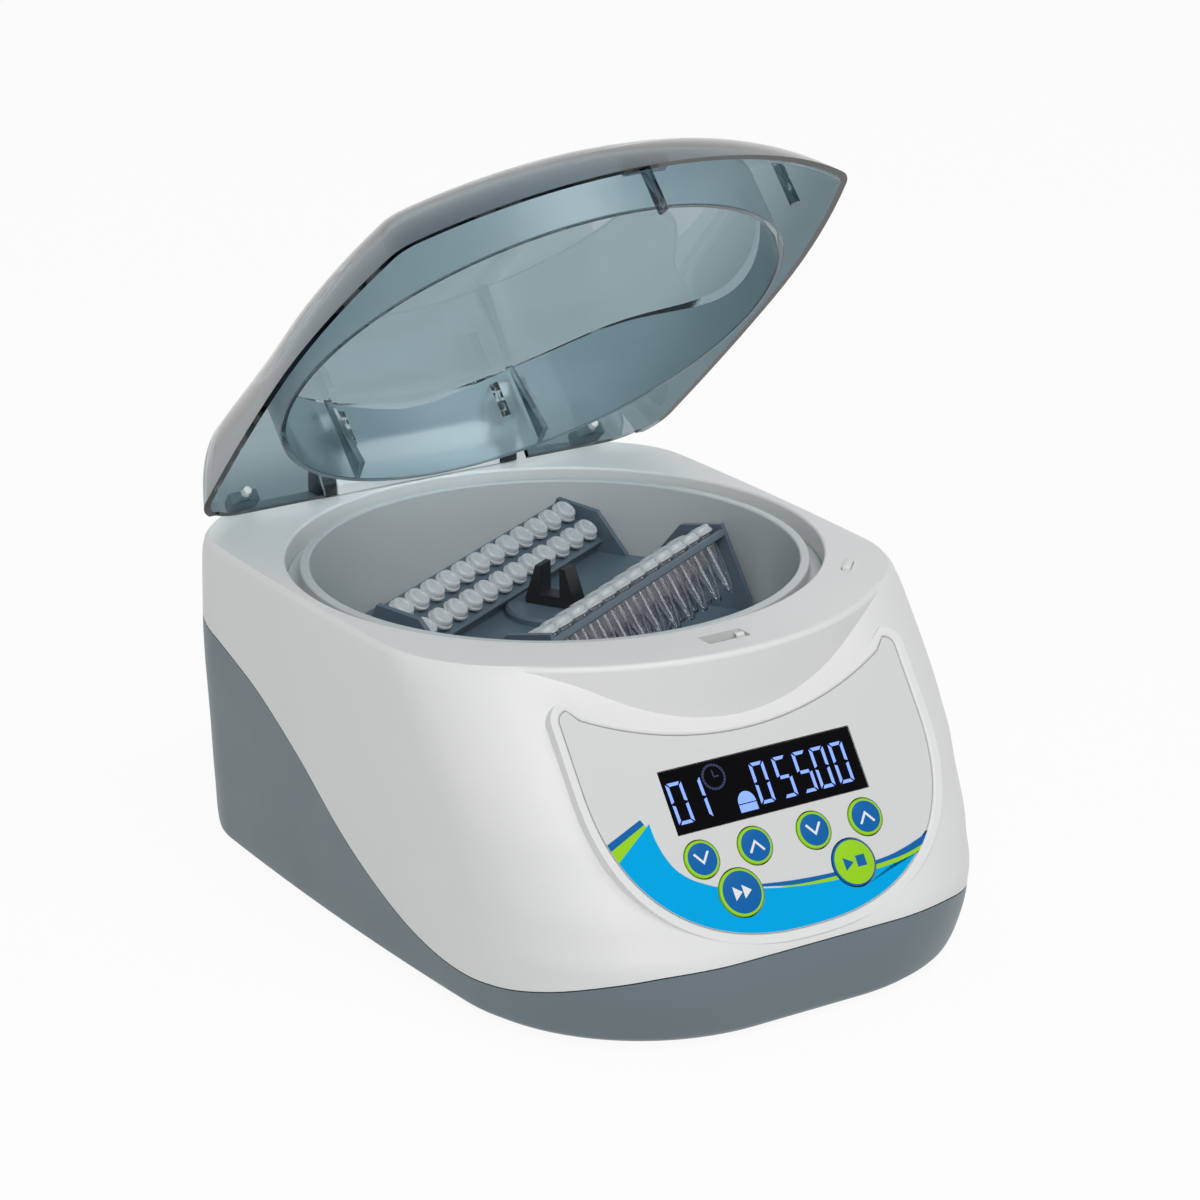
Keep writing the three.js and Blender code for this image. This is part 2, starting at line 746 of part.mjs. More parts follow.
function lowerHousing() {
  let shell = block.subtract(cavity).intersect(lowerHalfCleared);
  const inFloor = footHeight + floorThickness / 2;
  const posts = [
    ...damperAngles.map((angle) => barAt(
      damperCircle * Math.cos(angle), damperCircle * Math.sin(angle), postRadius, inFloor, postTop)),
    ...mainBoardPosts.map(([x, y]) => barAt(x, y, mainBoardPostRadius, inFloor, floorTop + mainBoardPost)),
    ...screwPlaceShares.map(placeOnFloor)
      .map(([x, y]) => barAt(x, y, screwBossRadius, inFloor, screwBossHeight)),
  ];
  shell = join([shell, ...posts]);
  const holes = [];
  for (let i = 0; i < ventCount; i += 1) {
    const x = ventMiddle + (i - (ventCount - 1) / 2) * ventPitch;
    holes.push(solid(box(x - ventHalfWidth, x + ventHalfWidth,
      housingRear - housingRearRadius, housingRear * rearFootShare + cutOverrun, ventLow, ventHigh)));
  }
  for (const [x, y] of footPlaceShares.map(placeOnFloor)) {
    holes.push(barAt(x, y, footRadius + seatGap, footHeight - cutOverrun, footHeight + footPocket, hubSegments));
  }
  for (const [x, y] of screwPlaceShares.map(placeOnFloor)) {
    const headTop = footHeight + screwHeadHeight + seatGap * 2;
    holes.push(barAt(x, y, screwRadius + seatGap, footHeight - cutOverrun, headTop));
    holes.push(barAt(x, y, screwShankRadius + seatGap, footHeight, screwBossHeight + cutOverrun));
  }
  const bodyHalfWidth = rockerHalfWidth + seatGap + lockWall;
  const bodyHalfHeight = rockerHalfHeight + runningGap * 2 + lockWall;
  holes.push(solid(onRear(box(-bodyHalfWidth - seatGap, bodyHalfWidth + seatGap, -bezelDepth, cutOverrun,
    -bodyHalfHeight - seatGap, bodyHalfHeight + seatGap), rockerPlace)));
  holes.push(solid(onRear(rearBar(socketRadius + seatGap, -socketDepth, cutOverrun, shaftSegments), socketPlace)));
  return cut(shell, holes);
}

function foot([x, y]) {
  return barAt(x, y, footRadius, 0, footHeight + footPocket - seatGap, hubSegments);
}

function caseScrew([x, y]) {
  const bottom = footHeight + seatGap;
  const head = barAt(x, y, screwRadius, bottom, bottom + screwHeadHeight);
  return head.add(barAt(x, y, screwShankRadius, bottom + screwHeadHeight / 2, bottom + screwLength));
}

function bowl() {
  const lipInner = bowlInnerRadius;
  const lipOuter = bowlInnerRadius + bowlLipWidth;
  const flangeOuter = bowlMouthRadius - seatGap;
  const floorZ = lipZ - bowlDepth;
  const cornerRound = bowlCornerRound;
  const profile = [
    [sealRadius, floorZ - bowlWall],
    [bowlFloorRadius + bowlWall - cornerRound, floorZ - bowlWall],
    [bowlFloorRadius + bowlWall, floorZ + cornerRound - bowlWall],
    [bowlInnerRadius + bowlWall, flangeBottom],
    [flangeOuter, flangeBottom],
    [flangeOuter, flangeTop],
    [lipOuter, flangeTop],
    [lipOuter, lipZ],
    [lipInner, lipZ],
    [bowlFloorRadius, floorZ + cornerRound],
    [bowlFloorRadius - cornerRound / 3, floorZ + cornerRound / 3],
    [bowlFloorRadius - cornerRound, floorZ],
    [sealRadius, floorZ],
  ];
  return solid(revolve(profile));
}

/* Lid, made closed and turned open about the hinge at the end */

const hingeZ = topZ + hingeRise;
const lidRimZ = topZ + lidRestGap;

const lidSteps = { front: 5, frontCorner: 3, side: 4, rearCorner: 3 };
const cornerPasses = 12;

// Sides of the lid are two long arcs, tighter towards the front
function lidSide(y) {
  const arc = y < 0 ? lidFrontSideArc : lidRearSideArc;
  return lidHalfWidth - y * y / (2 * arc);
}

// Plan outline of the lid: a front arc, bowed sides and a straight rear with round corners
function lidOutline(inset) {
  const arc = lidFrontArc - inset;
  const corner = lidFrontRadius - inset;
  const rearCorner = lidRearRadius - inset;
  const rear = lidRear - inset;
  let endY = -lidHalfWidth / 2;
  let lean = 0;
  let centreX = 0;
  let centreY = 0;
  for (let pass = 0; pass < cornerPasses; pass += 1) {
    lean = Math.atan(endY / lidFrontSideArc);
    centreX = lidSide(endY) - inset - corner * Math.cos(lean);
    centreY = lidArcCentre - Math.sqrt((arc - corner) ** 2 - centreX ** 2);
    endY = centreY + corner * Math.sin(lean);
  }
  const turn = Math.atan2(centreY - lidArcCentre, centreX);
  const half = arcPoints(0, lidArcCentre, arc, -Math.PI / 2, turn, lidSteps.front);
  half.push(...arcPoints(centreX, centreY, corner, turn, lean, lidSteps.frontCorner).slice(1));
  const rearStart = rear - rearCorner;
  for (let i = 1; i < lidSteps.side; i += 1) {
    const y = lerp(endY, rearStart, i / lidSteps.side);
    half.push([lidSide(y) - inset, y]);
  }
  const rearX = lidSide(rearStart) - inset - rearCorner;
  half.push(...arcPoints(rearX, rearStart, rearCorner, 0, Math.PI / 2, lidSteps.rearCorner));
  half.push([0, rear]);
  half[0][0] = 0;
  return mirrored(half);
}

const domeScaleShares = [1, 0.985, 0.965, 0.94, 0.905, 0.86, 0.78, 0.66, 0.45];

// How square the dome's shoulder is above a rim point: softer in front, squarer at the rear
function shoulderPower(y) {
  const along = y / lidRear;
  const end = along > 0 ? lidRearPower : lidFrontPower;
  return lidSidePower + (end - lidSidePower) * along * along;
}

// Dome whose rings shrink towards an apex behind the bowl axis
function dome(inset) {
  const outline = lidOutline(inset);
  const rise = lidHeight - lidCrown - inset;
  const rings = domeScaleShares.map((scale) => outline.map(([x, y]) => new THREE.Vector3(
    x * scale,
    y * scale + lidApexShift * (1 - scale),
    lidRimZ + rise * (1 - scale ** shoulderPower(y)) + lidCrown * (1 - scale ** 2))));
  const drop = inset ? cutOverrun : 0;
  const skirt = rings[0].map((point) => new THREE.Vector3(point.x, point.y, point.z - drop));
  return solid(loft(inset ? [skirt, ...rings] : rings));
}

const lugInner = lugCentre - lugThickness / 2;
const lugOuter = lugCentre + lugThickness / 2;
const notchInner = lugInner - hingeNotchGap;
const notchOuter = lugOuter + hingeNotchGap;
const lidRingInner = lidRingRadius - lidRingWall;
const ringBottom = lipZ + seatGap;
const ribAngles = [-2.06, -1.05];
const bedInRing = lidRingWall / 2;

// Upright rib between the ring and the front of the dome
function lidRib(angle) {
  const rib = box(lidRingRadius - bedInRing, lidFrontArc, -lidRibThickness / 2, lidRibThickness / 2,
    topZ + lidHeight - lidRibDepth, topZ + lidHeight);
  rib.rotateZ(angle);
  return solid(rib);
}

function lidShell() {
  const outer = dome(0);
  const inner = dome(lidWall);
  const shell = outer.subtract(inner);
  const belowDome = solid(box(-lidFrontArc, lidFrontArc, -lidFrontArc, lidFrontArc, 0, lidRimZ + lidWall / 2));
  const domeInside = outer.add(belowDome);
  const ring = solid(revolve([
    [lidRingInner, ringBottom],
    [lidRingRadius, ringBottom],
    [lidRingRadius, topZ + lidHeight],
    [lidRingInner, topZ + lidHeight],
  ])).intersect(domeInside);
  const ribs = ribAngles.map((angle) => lidRib(angle));
  const parts = [shell, ring, ...ribs.map((rib) => rib.intersect(outer))];
  const finY = Math.sqrt(lidRingInner ** 2 - lugCentre ** 2) + bedInRing;
  for (const side of [-1, 1]) {
    const x = side * lugCentre;
    const fin = sidePrism([
      [finY - lidFinReach, ringBottom + lidFinThickness],
      [finY, ringBottom],
      [finY, topZ + lidHeight],
      [finY - lidFinReach / 4, topZ + lidHeight],
    ], x - lidFinThickness / 2, x + lidFinThickness / 2);
    parts.push(solid(fin).intersect(domeInside));
    for (const at of [lugInner - runningGap - lidEarThickness, lugOuter + runningGap]) {
      const low = side > 0 ? at : -at - lidEarThickness;
      parts.push(lidEar(low, low + lidEarThickness));
    }
  }
  const openAbove = hingeZ + lugEyeRadius + cutOverrun;
  const past = lidRear + cutOverrun * 3;
  const eyeClear = lugEyeRadius + hingeNotchGap;
  const blockNotch = sidePrism([
    [hingeBlockFront - runningGap, lidRimZ - cutOverrun],
    [past, lidRimZ - cutOverrun],
    [past, hingeZ],
    [hingeReach, hingeZ - hingeNotchGap],
    [hingeBlockFront - runningGap, topZ + hingeBlockHeight + hingeBlockRound],
  ], -notchInner, notchInner);
  const underRear = box(-lidHalfWidth, lidHalfWidth, hingeReach, past, lidRimZ - cutOverrun, topZ + rearRelief);
  const stemHoles = [-1, 1].map((side) => padStem(side, padStemRadius + seatGap, cutOverrun));
  const tools = [solid(blockNotch), solid(underRear), ...stemHoles];
  for (const side of [-1, 1]) {
    tools.push(solid(sidePrism([
      [hingeBlockFront - runningGap, lidRimZ - cutOverrun],
      [past, lidRimZ - cutOverrun],
      [past, openAbove],
      [hingeReach - eyeClear, openAbove],
      [hingeReach - eyeClear, hingeZ],
      [hingeBlockFront - runningGap, topZ + hingeBlockHeight + hingeBlockRound],
    ], side > 0 ? notchInner : -notchOuter, side > 0 ? notchOuter : -notchInner)));
  }
  for (const side of [-1, 1]) tools.push(pinBar(side, hingePinRadius + seatGap, seatGap));
  return cut(join(parts), tools);
}

// Round bar through the lid's rear wall at a soft stop, lengthened inwards by an overrun
function padStem(side, radius, overrun) {
  const length = padStemLength + padRound + overrun;
  const stem = new THREE.CylinderGeometry(radius, radius, length, smallSegments);
  stem.translate(side * padReach, lidRear + padRound - length / 2, topZ + padRise);
  return solid(stem);
}

// Ear that holds a hinge pin: a round eye on a web that runs forward into the shell
function lidEar(x0, x1) {
  const eye = solid(crossBar(lidEarRadius, x0, x1, hingeReach, hingeZ));
  const web = solid(sidePrism([
    [hingeReach - lidEarRadius * 1.6, hingeZ - lidEarRadius],
    [hingeReach, hingeZ - lidEarRadius],
    [hingeReach, hingeZ + lidEarRadius * 0.8],
    [hingeReach - lidEarRadius * 1.6, hingeZ + lidEarRadius * 1.2],
  ], x0, x1));
  return eye.add(web);
}

// Space under the closed lid, one seat gap inside its wall
const underLid = dome(lidWall + seatGap);

function lidHook() {
  const wide = box(-hookThickness / 2, hookThickness / 2, -hookReach - hookHalfDepth, -hookReach + hookHalfDepth,
    topZ - hookDrop, topZ + lidHeight);
  const head = box(-lockSlotHalfLength, lockSlotHalfLength, -hookReach - hookHalfDepth, -hookReach + hookHalfDepth,
    lidRimZ + hookDrop / 2, topZ + lidHeight);
  const tall = solid(wide).add(solid(head));
  const belowRim = solid(box(-lidHalfWidth, lidHalfWidth, -lidFrontArc, 0, 0, lidRimZ));
  const windowZ = topZ - hookDrop + hookFoot;
  const opening = solid(box(-hookThickness, hookThickness, -hookReach - hookHalfDepth + hookFoot / 2,
    -hookReach + hookHalfDepth - hookFoot / 2, windowZ, windowZ + hookWindow));
  return tall.intersect(underLid.add(belowRim)).subtract(opening);
}

// Peg that comes down over the lid sensor when the lid is shut
function sensorPeg() {
  const peg = bar(pegRadius, topZ + sensorProud + seatGap, topZ + lidHeight);
  peg.translate(sensorReach * Math.cos(sensorAngle), sensorReach * Math.sin(sensorAngle), 0);
  return solid(peg).intersect(underLid);
}

// Soft stop behind each rear corner of the lid, held by its stem in a hole in the rear wall
function lidPad(side) {
  const x = side * padReach;
  const outer = hingeReach + padSetback;
  const low = topZ + padRise - padHalfHeight;
  const high = topZ + padRise + padHalfHeight;
  const body = sidePrism([
    [lidRear, low],
    [outer - padRound, low],
    [outer, low + padRound],
    [outer, high - padRound],
    [outer - padRound, high],
    [lidRear, high],
  ], x - padHalfLength, x + padHalfLength);
  return solid(body).add(padStem(side, padStemRadius, 0));
}

/* Hinge pieces on the housing */

function hingeLug(side) {
  const x0 = side > 0 ? lugInner : -lugOuter;
  const x1 = x0 + lugThickness;
  const eye = solid(crossBar(lugEyeRadius, x0, x1, hingeReach, hingeZ));
  const back = hingeBlockFront + hingeBlockDepth;
  const stem = solid(sidePrism([
    [hingeBlockFront, topZ + seatGap],
    [back, topZ + seatGap],
    [back, topZ + hingeBlockHeight],
    [hingeReach + lugEyeRadius, hingeZ],
    [hingeReach - lugEyeRadius, hingeZ],
    [hingeBlockFront, topZ + hingeBlockHeight],
  ], x0, x1));
  const hole = crossBar(hingePinRadius + seatGap, x0 - cutOverrun, x1 + cutOverrun, hingeReach, hingeZ);
  return eye.add(stem).subtract(solid(hole));
}

function hingeBlock() {
  const half = lugInner - seatGap;
  const back = hingeBlockFront + hingeBlockDepth;
  const height = topZ + hingeBlockHeight;
  return solid(sidePrism([
    [hingeBlockFront, topZ + seatGap],
    [back, topZ + seatGap],
    [back, height - hingeBlockRound],
    [back - hingeBlockRound, height],
    [hingeBlockFront + hingeBlockRound, height],
    [hingeBlockFront, height - hingeBlockRound],
  ], -half, half));
}

// Round bar on the hinge axis through one lug and its two ears
function pinBar(side, radius, overrun) {
  const inner = lugInner - runningGap - lidEarThickness - overrun;
  const outer = lugOuter + runningGap + lidEarThickness + overrun;
  return solid(crossBar(radius, side > 0 ? inner : -outer, side > 0 ? outer : -inner, hingeReach, hingeZ));
}

/* Rotor: made with its racks along X, then turned about the shaft */

const rackTop = capThickness + seatGap;
const stripHalf = tubePitch * (tubesPerStrip - 1) / 2;
const rackHalfLength = stripHalf + capRadius + seatGap + rotorEndWall;
const rackInnerEdge = -rowPitch - capRadius - rackInnerRim;
const rowShifts = [0, -rowPitch];
const discTop = lipZ - rotorDiscDrop;
const discBottom = discTop - rotorDiscThickness;
const trayTop = lipZ - trayDrop;
const collarTop = trayTop + collarHeight;

// Rack frame for one side: x along the rows, y up the tilted rack, z out through the caps
function onRack(geometry, side) {
  const matrix = new THREE.Matrix4().makeBasis(
    new THREE.Vector3(side, 0, 0),
    new THREE.Vector3(0, side * Math.cos(rackTilt), Math.sin(rackTilt)),
    new THREE.Vector3(0, -side * Math.sin(rackTilt), Math.cos(rackTilt)));
  matrix.setPosition(0, side * outerRowReach, lipZ - outerRowDrop);
  geometry.applyMatrix4(matrix);
  return geometry;
}

// End cheek outline, as shares of the outer row's reach and of the disc's depth
const cheekShares = [[0.19, 0.59], [0.64, 0.155], [1.26, 0.075], [1.7, 0.87], [1.7, 1.05], [0.19, 1.05]];

function rotorSide(side) {
  const parts = [solid(onRack(box(-rackHalfLength, rackHalfLength, rackInnerEdge, rackRim,
    -rackTop - rackThickness, -rackTop), side))];
  const cheek = cheekShares.map(([reach, depth]) => [side * outerRowReach * reach, lipZ - rotorDiscDrop * depth]);
  for (const x0 of [-rackHalfLength, rackHalfLength - rotorEndWall]) {
    parts.push(solid(sidePrism(cheek, x0, x0 + rotorEndWall)));
  }
  const foot = trayHalfWidth - trayWall;
  parts.push(solid(box(-rackHalfLength, rackHalfLength, side > 0 ? foot : -trayHalfWidth,
    side > 0 ? trayHalfWidth : -foot, discBottom + rotorDiscThickness / 2, trayTop + trayThickness)));
  return join(parts);
}

function tubeHoles(side) {
  const holes = [];
  for (const shift of rowShifts) {
    for (let i = 0; i < tubesPerStrip; i += 1) {
      const hole = bar(tubeRadius + runningGap / 2, -rackTop - rackThickness - cutOverrun, -rackTop + cutOverrun,
        tubeSegments);
      hole.translate(i * tubePitch - stripHalf, shift, 0);
      holes.push(solid(onRack(hole, side)));
    }
  }
  return join(holes);
}

function rotorBody() {
  const bossBottom = discBottom - hubBossDepth;
  const tray = box(-rackHalfLength, rackHalfLength, -trayHalfWidth, trayHalfWidth, trayTop - trayThickness, trayTop);
  const parts = [
    solid(bar(rotorRadius, discBottom, discTop, roundSegments)),
    rotorSide(-1),
    rotorSide(1),
    solid(tray),
    solid(bar(collarRadius, trayTop - trayThickness, collarTop, hubSegments)),
    solid(bar(hubRadius, bossBottom, trayTop, hubSegments)),
  ];
  const bore = solid(bar(shaftRadius + seatGap, bossBottom - cutOverrun, collarTop + cutOverrun, shaftSegments));
  return cut(join(parts), [tubeHoles(-1), tubeHoles(1), bore]);
}

// One strip of thin-walled tubes joined by a web under their rims
function stripTubes(side, shift) {
  const top = seatGap - capThickness;
  const tubes = [];
  for (let i = 0; i < tubesPerStrip; i += 1) {
    const tube = revolve([
      [0, top - tubeLength],
      [tubeRadius, top - tubeLength * 0.42],
      [tubeRadius, top],
      [0, top],
    ], tubeSegments);
    tube.translate(i * tubePitch - stripHalf, shift, 0);
    tubes.push(solid(tube));
  }
  const web = box(-stripHalf, stripHalf, shift - stripWeb / 2, shift + stripWeb / 2, top - seatGap * 2, top - seatGap);
  return onRackSolid(join([...tubes, solid(web)]), side);
}

// One strip of domed caps joined by a strap
function stripCaps(side, shift) {
  const base = seatGap * 2 - capThickness;
  const caps = [];
  for (let i = 0; i < tubesPerStrip; i += 1) {
    const cap = revolve([[0, base], [capRadius, base], [capRadius * 0.85, 0], [0, 0]], capSegments);
    cap.translate(i * tubePitch - stripHalf, shift, 0);
    caps.push(solid(cap));
  }
  const strap = box(-stripHalf, stripHalf, shift - stripWeb, shift + stripWeb, base, base + capThickness / 3);
  return onRackSolid(join([...caps, solid(strap)]), side);
}

const onRackSolid = (body, side) => solid(onRack(geometryOf(body), side));

function hubClip() {
  const z0 = collarTop + seatGap;
  const z1 = z0 + clipHeight;
  return solid(sidePrism([
    [-clipHalfWidth, z0],
    [clipHalfWidth, z0],
    [clipHalfWidth, z0 + clipFoot / 2],
    [clipTopHalfWidth, z1],
    [clipHalfGap, z1],
    [clipHalfGap, z0 + clipFoot],
    [-clipHalfGap, z0 + clipFoot],
    [-clipHalfGap, z1],
    [-clipTopHalfWidth, z1],
    [-clipHalfWidth, z0 + clipFoot / 2],
  ], -clipThickness / 2, clipThickness / 2));
}

/* Drive */

const motorTop = motorPlateBottom - seatGap;

function motorBody() {
  const body = revolve([
    [0, motorTop - motorHeight],
    [motorRadius * 0.55, motorTop - motorHeight],
    [motorRadius, motorTop - motorHeight * 0.9],
    [motorRadius, motorTop],
    [motorBossRadius, motorTop],
    [motorBossRadius, motorTop + motorBossHeight],
    [0, motorTop + motorBossHeight],
  ], hubSegments);
  const bore = bar(shaftRadius + seatGap, motorTop + motorBossHeight - shaftSink, topZ, shaftSegments);
  return solid(body).subtract(solid(bore));
}

function motorPlate() {
  const plate = solid(bar(motorPlateRadius, motorPlateBottom, motorPlateTop, hubSegments));
  return plate.subtract(solid(bar(motorBossRadius + seatGap, 0, topZ, hubSegments)));
}

function motorShaft() {
  return solid(bar(shaftRadius, motorTop + motorBossHeight - shaftSink + seatGap, collarTop - seatGap, shaftSegments));
}

function damper(angle) {
  const low = postTop + seatGap;
  const high = motorPlateBottom - seatGap;
  const waist = damperRadius * 0.7;
  const geometry = revolve([
    [0, low],
    [damperRadius, low],
    [damperRadius, lerp(low, high, 0.25)],
    [waist, lerp(low, high, 0.4)],
    [waist, lerp(low, high, 0.6)],
    [damperRadius, lerp(low, high, 0.75)],
    [damperRadius, high],
    [0, high],
  ], smallSegments);
  geometry.translate(damperCircle * Math.cos(angle), damperCircle * Math.sin(angle), 0);
  return solid(geometry);
}

function shaftSeal() {
  const floorZ = lipZ - bowlDepth;
  return solid(revolve([
    [shaftRadius + runningGap, floorZ - bowlWall],
    [sealRadius - seatGap, floorZ - bowlWall],
    [sealRadius - seatGap, floorZ + seatGap],
    [sealRadius + sealFlange, floorZ + seatGap],
    [shaftRadius + runningGap, floorZ + sealThickness],
  ], shaftSegments));
}

/* Panel pieces, in the panel's own frame */

function panelOverlay() {
  const sheet = solid(onPanel(prism(flatPoints(panelOutline(0)), seatGap / 2 - overlayThickness, 0)));
  const holes = keys.map((key) => solid(onPanel(keyBar(key, keyGap, -cutOverrun, cutOverrun))));
  return cut(sheet, [solid(onPanel(windowBox(seatGap, -cutOverrun, cutOverrun))), ...holes]);
}

const wallInner = faceProud - housingWall;
const boardTop = wallInner - seatGap * 2 - moduleDepth;
const switchTop = boardTop + keySwitchHeight;

function displayModule() {
  return solid(onPanel(windowBox(moduleMargin, boardTop + seatGap, wallInner - seatGap)));
}

function keyCap(key) {
  const flangeTop = wallInner - seatGap;
  const flangeBase = flangeTop - keyFlangeThickness;
  const stemEnd = switchTop + keyTravel + seatGap;
  const overlap = keyFlangeThickness / 2;
  const stem = bar(keyStemRadius, stemEnd, flangeBase + overlap);
  stem.translate(key.u, key.v, 0);
  return join([
    solid(onPanel(keyBar(key, 0, flangeTop - overlap, keyProud))),
    solid(onPanel(keyBar(key, keyFlangeWidth, flangeBase, flangeTop))),
    solid(onPanel(stem)),
  ]);
}

function controlBoard() {
  const board = solid(onPanel(box(-boardHalfWidth, boardHalfWidth, -boardBottomDrop, boardTopRise,
    boardTop - boardThickness, boardTop)));
  const switches = keys.map((key) => solid(onPanel(box(key.u - keySwitchHalf, key.u + keySwitchHalf,
    key.v - keySwitchHalf, key.v + keySwitchHalf, boardTop - boardThickness / 2, switchTop))));
  return join([board, ...switches]);
}

/* Main board and rear connections */

function mainBoard() {
  const low = floorTop + mainBoardPost + seatGap;
  const top = low + boardThickness;
  const inBoard = low + boardThickness / 2;
  const board = box(-mainBoardHalfWidth, mainBoardHalfWidth, -mainBoardFront, -mainBoardBack, low, top);
  const sinkFront = lerp(-mainBoardFront, -mainBoardBack, mainBoardPartShares.sinkRow);
  const sinkStart = mainBoardHalfWidth * mainBoardPartShares.sinkStart;
  const sinkEnd = mainBoardHalfWidth * mainBoardPartShares.sinkEnd;
  const sink = box(sinkStart, sinkEnd, sinkFront, sinkFront + capacitorRadius, inBoard, top + heatSinkHeight);
  const capacitorRow = lerp(-mainBoardFront, -mainBoardBack, mainBoardPartShares.capacitorRow);
  const capacitors = capacitorPlaceShares.map((share) => barAt(mainBoardHalfWidth * share, capacitorRow,
    capacitorRadius, inBoard, top + capacitorHeight));
  return join([solid(board), solid(sink), ...capacitors]);
}

function switchBezel() {
  const halfWidth = rockerHalfWidth + seatGap;
  const halfHeight = rockerHalfHeight + runningGap * 2;
  const body = box(-halfWidth - lockWall, halfWidth + lockWall, seatGap * 2 - bezelDepth, bezelLip,
    -halfHeight - lockWall, halfHeight + lockWall);
  const rim = box(-halfWidth - bezelRim, halfWidth + bezelRim, seatGap, bezelLip,
    -halfHeight - bezelRim, halfHeight + bezelRim);
  const pocket = box(-halfWidth, halfWidth, -rockerDepth - runningGap * 3, cutOverrun, -halfHeight, halfHeight);
  const place = (geometry) => solid(onRear(geometry, rockerPlace));
  return place(body).add(place(rim)).subtract(place(pocket));
}

// Rocker at its off end: the lower half stands proud
function powerRocker() {
  const geometry = sidePrism([
    [-rockerDepth, -rockerHalfHeight * 0.95],
    [bezelLip * 0.6, -rockerHalfHeight],
    [-bezelLip * 0.4, 0],
    [bezelLip * 0.6, rockerHalfHeight],
    [-rockerDepth, rockerHalfHeight * 0.95],
  ], -rockerHalfWidth, rockerHalfWidth);
  geometry.translate(0, rockerPivotDepth, 0);
  geometry.rotateX(rockerSwing);
  geometry.translate(0, -rockerPivotDepth, 0);
  return solid(onRear(geometry, rockerPlace));
}

function powerSocket() {
  const place = (geometry) => solid(onRear(geometry, socketPlace));
  const body = place(rearBar(socketRadius, seatGap - socketDepth, bezelLip, shaftSegments));
  const rim = place(rearBar(socketRadius + socketRim, seatGap, bezelLip, shaftSegments));
  const bore = place(rearBar(socketBore, -socketBoreDepth, cutOverrun));
  const pin = place(rearBar(socketPin, -socketBoreDepth - socketRim, 0));
  return body.add(rim).subtract(bore).add(pin);
}

/* Lid lock and lid sensor under the top face */

const lockTop = topZ - topWall - seatGap;
const lockBottom = lockTop - lockDepth;
const boltZ = topZ - hookDrop + hookFoot + hookWindow / 2;
const boltTip = -hookThickness / 2 - runningGap;
const bracketLow = boltTip - boltLength - lockWall - seatGap;
const bracketHalfDepth = lockSlotHalfWidth + seatGap;

function lockBracket() {
  const high = boltTip + boltTravel + runningGap;
  const outer = box(bracketLow, high + lockWall, -lockSlotReach - bracketHalfDepth - lockWall,
    -lockSlotReach + bracketHalfDepth + lockWall, lockBottom, lockTop);
  const inner = box(bracketLow + lockWall, high, -lockSlotReach - bracketHalfDepth,
    -lockSlotReach + bracketHalfDepth, lockBottom + lockWall, lockTop + cutOverrun);
  return solid(outer).subtract(solid(inner));
}

function lockBolt() {
  const tail = boltTip - boltLength;
  const rod = solid(crossBar(boltRadius, tail, boltTip, -hookReach, boltZ));
  const head = solid(box(tail, tail + boltHead, -hookReach - boltHead / 2, -hookReach + boltHead / 2,
    lockBottom + lockWall + seatGap, boltZ + boltHead / 2));
  return rod.add(head);
}

function lockActuator() {
  return solid(crossBar(lockBodyRadius, bracketLow - seatGap - lockBodyLength, bracketLow - seatGap,
    -lockSlotReach + lockSlotHalfWidth, lockTop - lockBodyRadius));
}

const sensorLow = topZ - topWall - sensorTravel - sensorFlangeThickness - seatGap * 2;

function sensorLever() {
  const stem = box(seatGap - sensorHalfLength, sensorHalfLength - seatGap, seatGap - sensorHalfWidth,
    sensorHalfWidth - seatGap, sensorLow + sensorTravel, topZ + sensorProud);
  const flange = box(-sensorHalfLength - sensorFlange / 2, sensorHalfLength + sensorFlange / 2,
    -sensorHalfWidth - sensorFlange / 2, sensorHalfWidth + sensorFlange / 2,
    sensorLow + sensorTravel, sensorLow + sensorTravel + sensorFlangeThickness);
  return solid(placeAtSensor(stem)).add(solid(placeAtSensor(flange)));
}

// Switch under the lever, hung from the top wall by an arm on its outer side
function sensorSwitch() {
  const top = sensorLow - seatGap;
  const armInner = -sensorHalfWidth - sensorFlange / 2 - seatGap;
  const armOuter = armInner - sensorFlange;
  const body = box(-sensorHalfLength - sensorFlange, sensorHalfLength + sensorFlange,
    armOuter, sensorHalfWidth + sensorFlange, top - sensorBodyHeight, top);
  const arm = box(-sensorHalfLength, sensorHalfLength, armOuter, armInner,
    top - sensorBodyHeight / 2, topZ - topWall - seatGap);
  return solid(placeAtSensor(body)).add(solid(placeAtSensor(arm)));
}

/* Assembly */

const centrifuge = new THREE.Group();
const housingGroup = new THREE.Group();
const lidGroup = new THREE.Group();
const rotorGroup = new THREE.Group();

const finishes = {
  white: { color: 0xe4e5e4, roughness: 0.5, metalness: 0 },
  grey: { color: 0x68788a, roughness: 0.55, metalness: 0 },
  bowl: { color: 0xb9bdbd, roughness: 0.45, metalness: 0 },
  smoke: { color: 0x53707c, roughness: 0.12, metalness: 0 },
  black: { color: 0x17181b, roughness: 0.45, metalness: 0 },
  rotor: { color: 0x4f6470, roughness: 0.45, metalness: 0 },
  strip: { color: 0xd7dbde, roughness: 0.35, metalness: 0 },
  steel: { color: 0xb4b6b8, roughness: 0.35, metalness: 1 },
  aluminium: { color: 0xc4c6c8, roughness: 0.4, metalness: 1 },
  rubber: { color: 0x2a2b2d, roughness: 0.9, metalness: 0 },
  board: { color: 0x1f5a3a, roughness: 0.6, metalness: 0 },
  overlay: { color: 0xd5d9dc, roughness: 0.4, metalness: 0 },
  blue: { color: 0x0f6cb0, roughness: 0.4, metalness: 0 },
  lime: { color: 0x97c93c, roughness: 0.4, metalness: 0 },
  glass: { color: 0x0b0d12, roughness: 0.1, metalness: 0 },
};

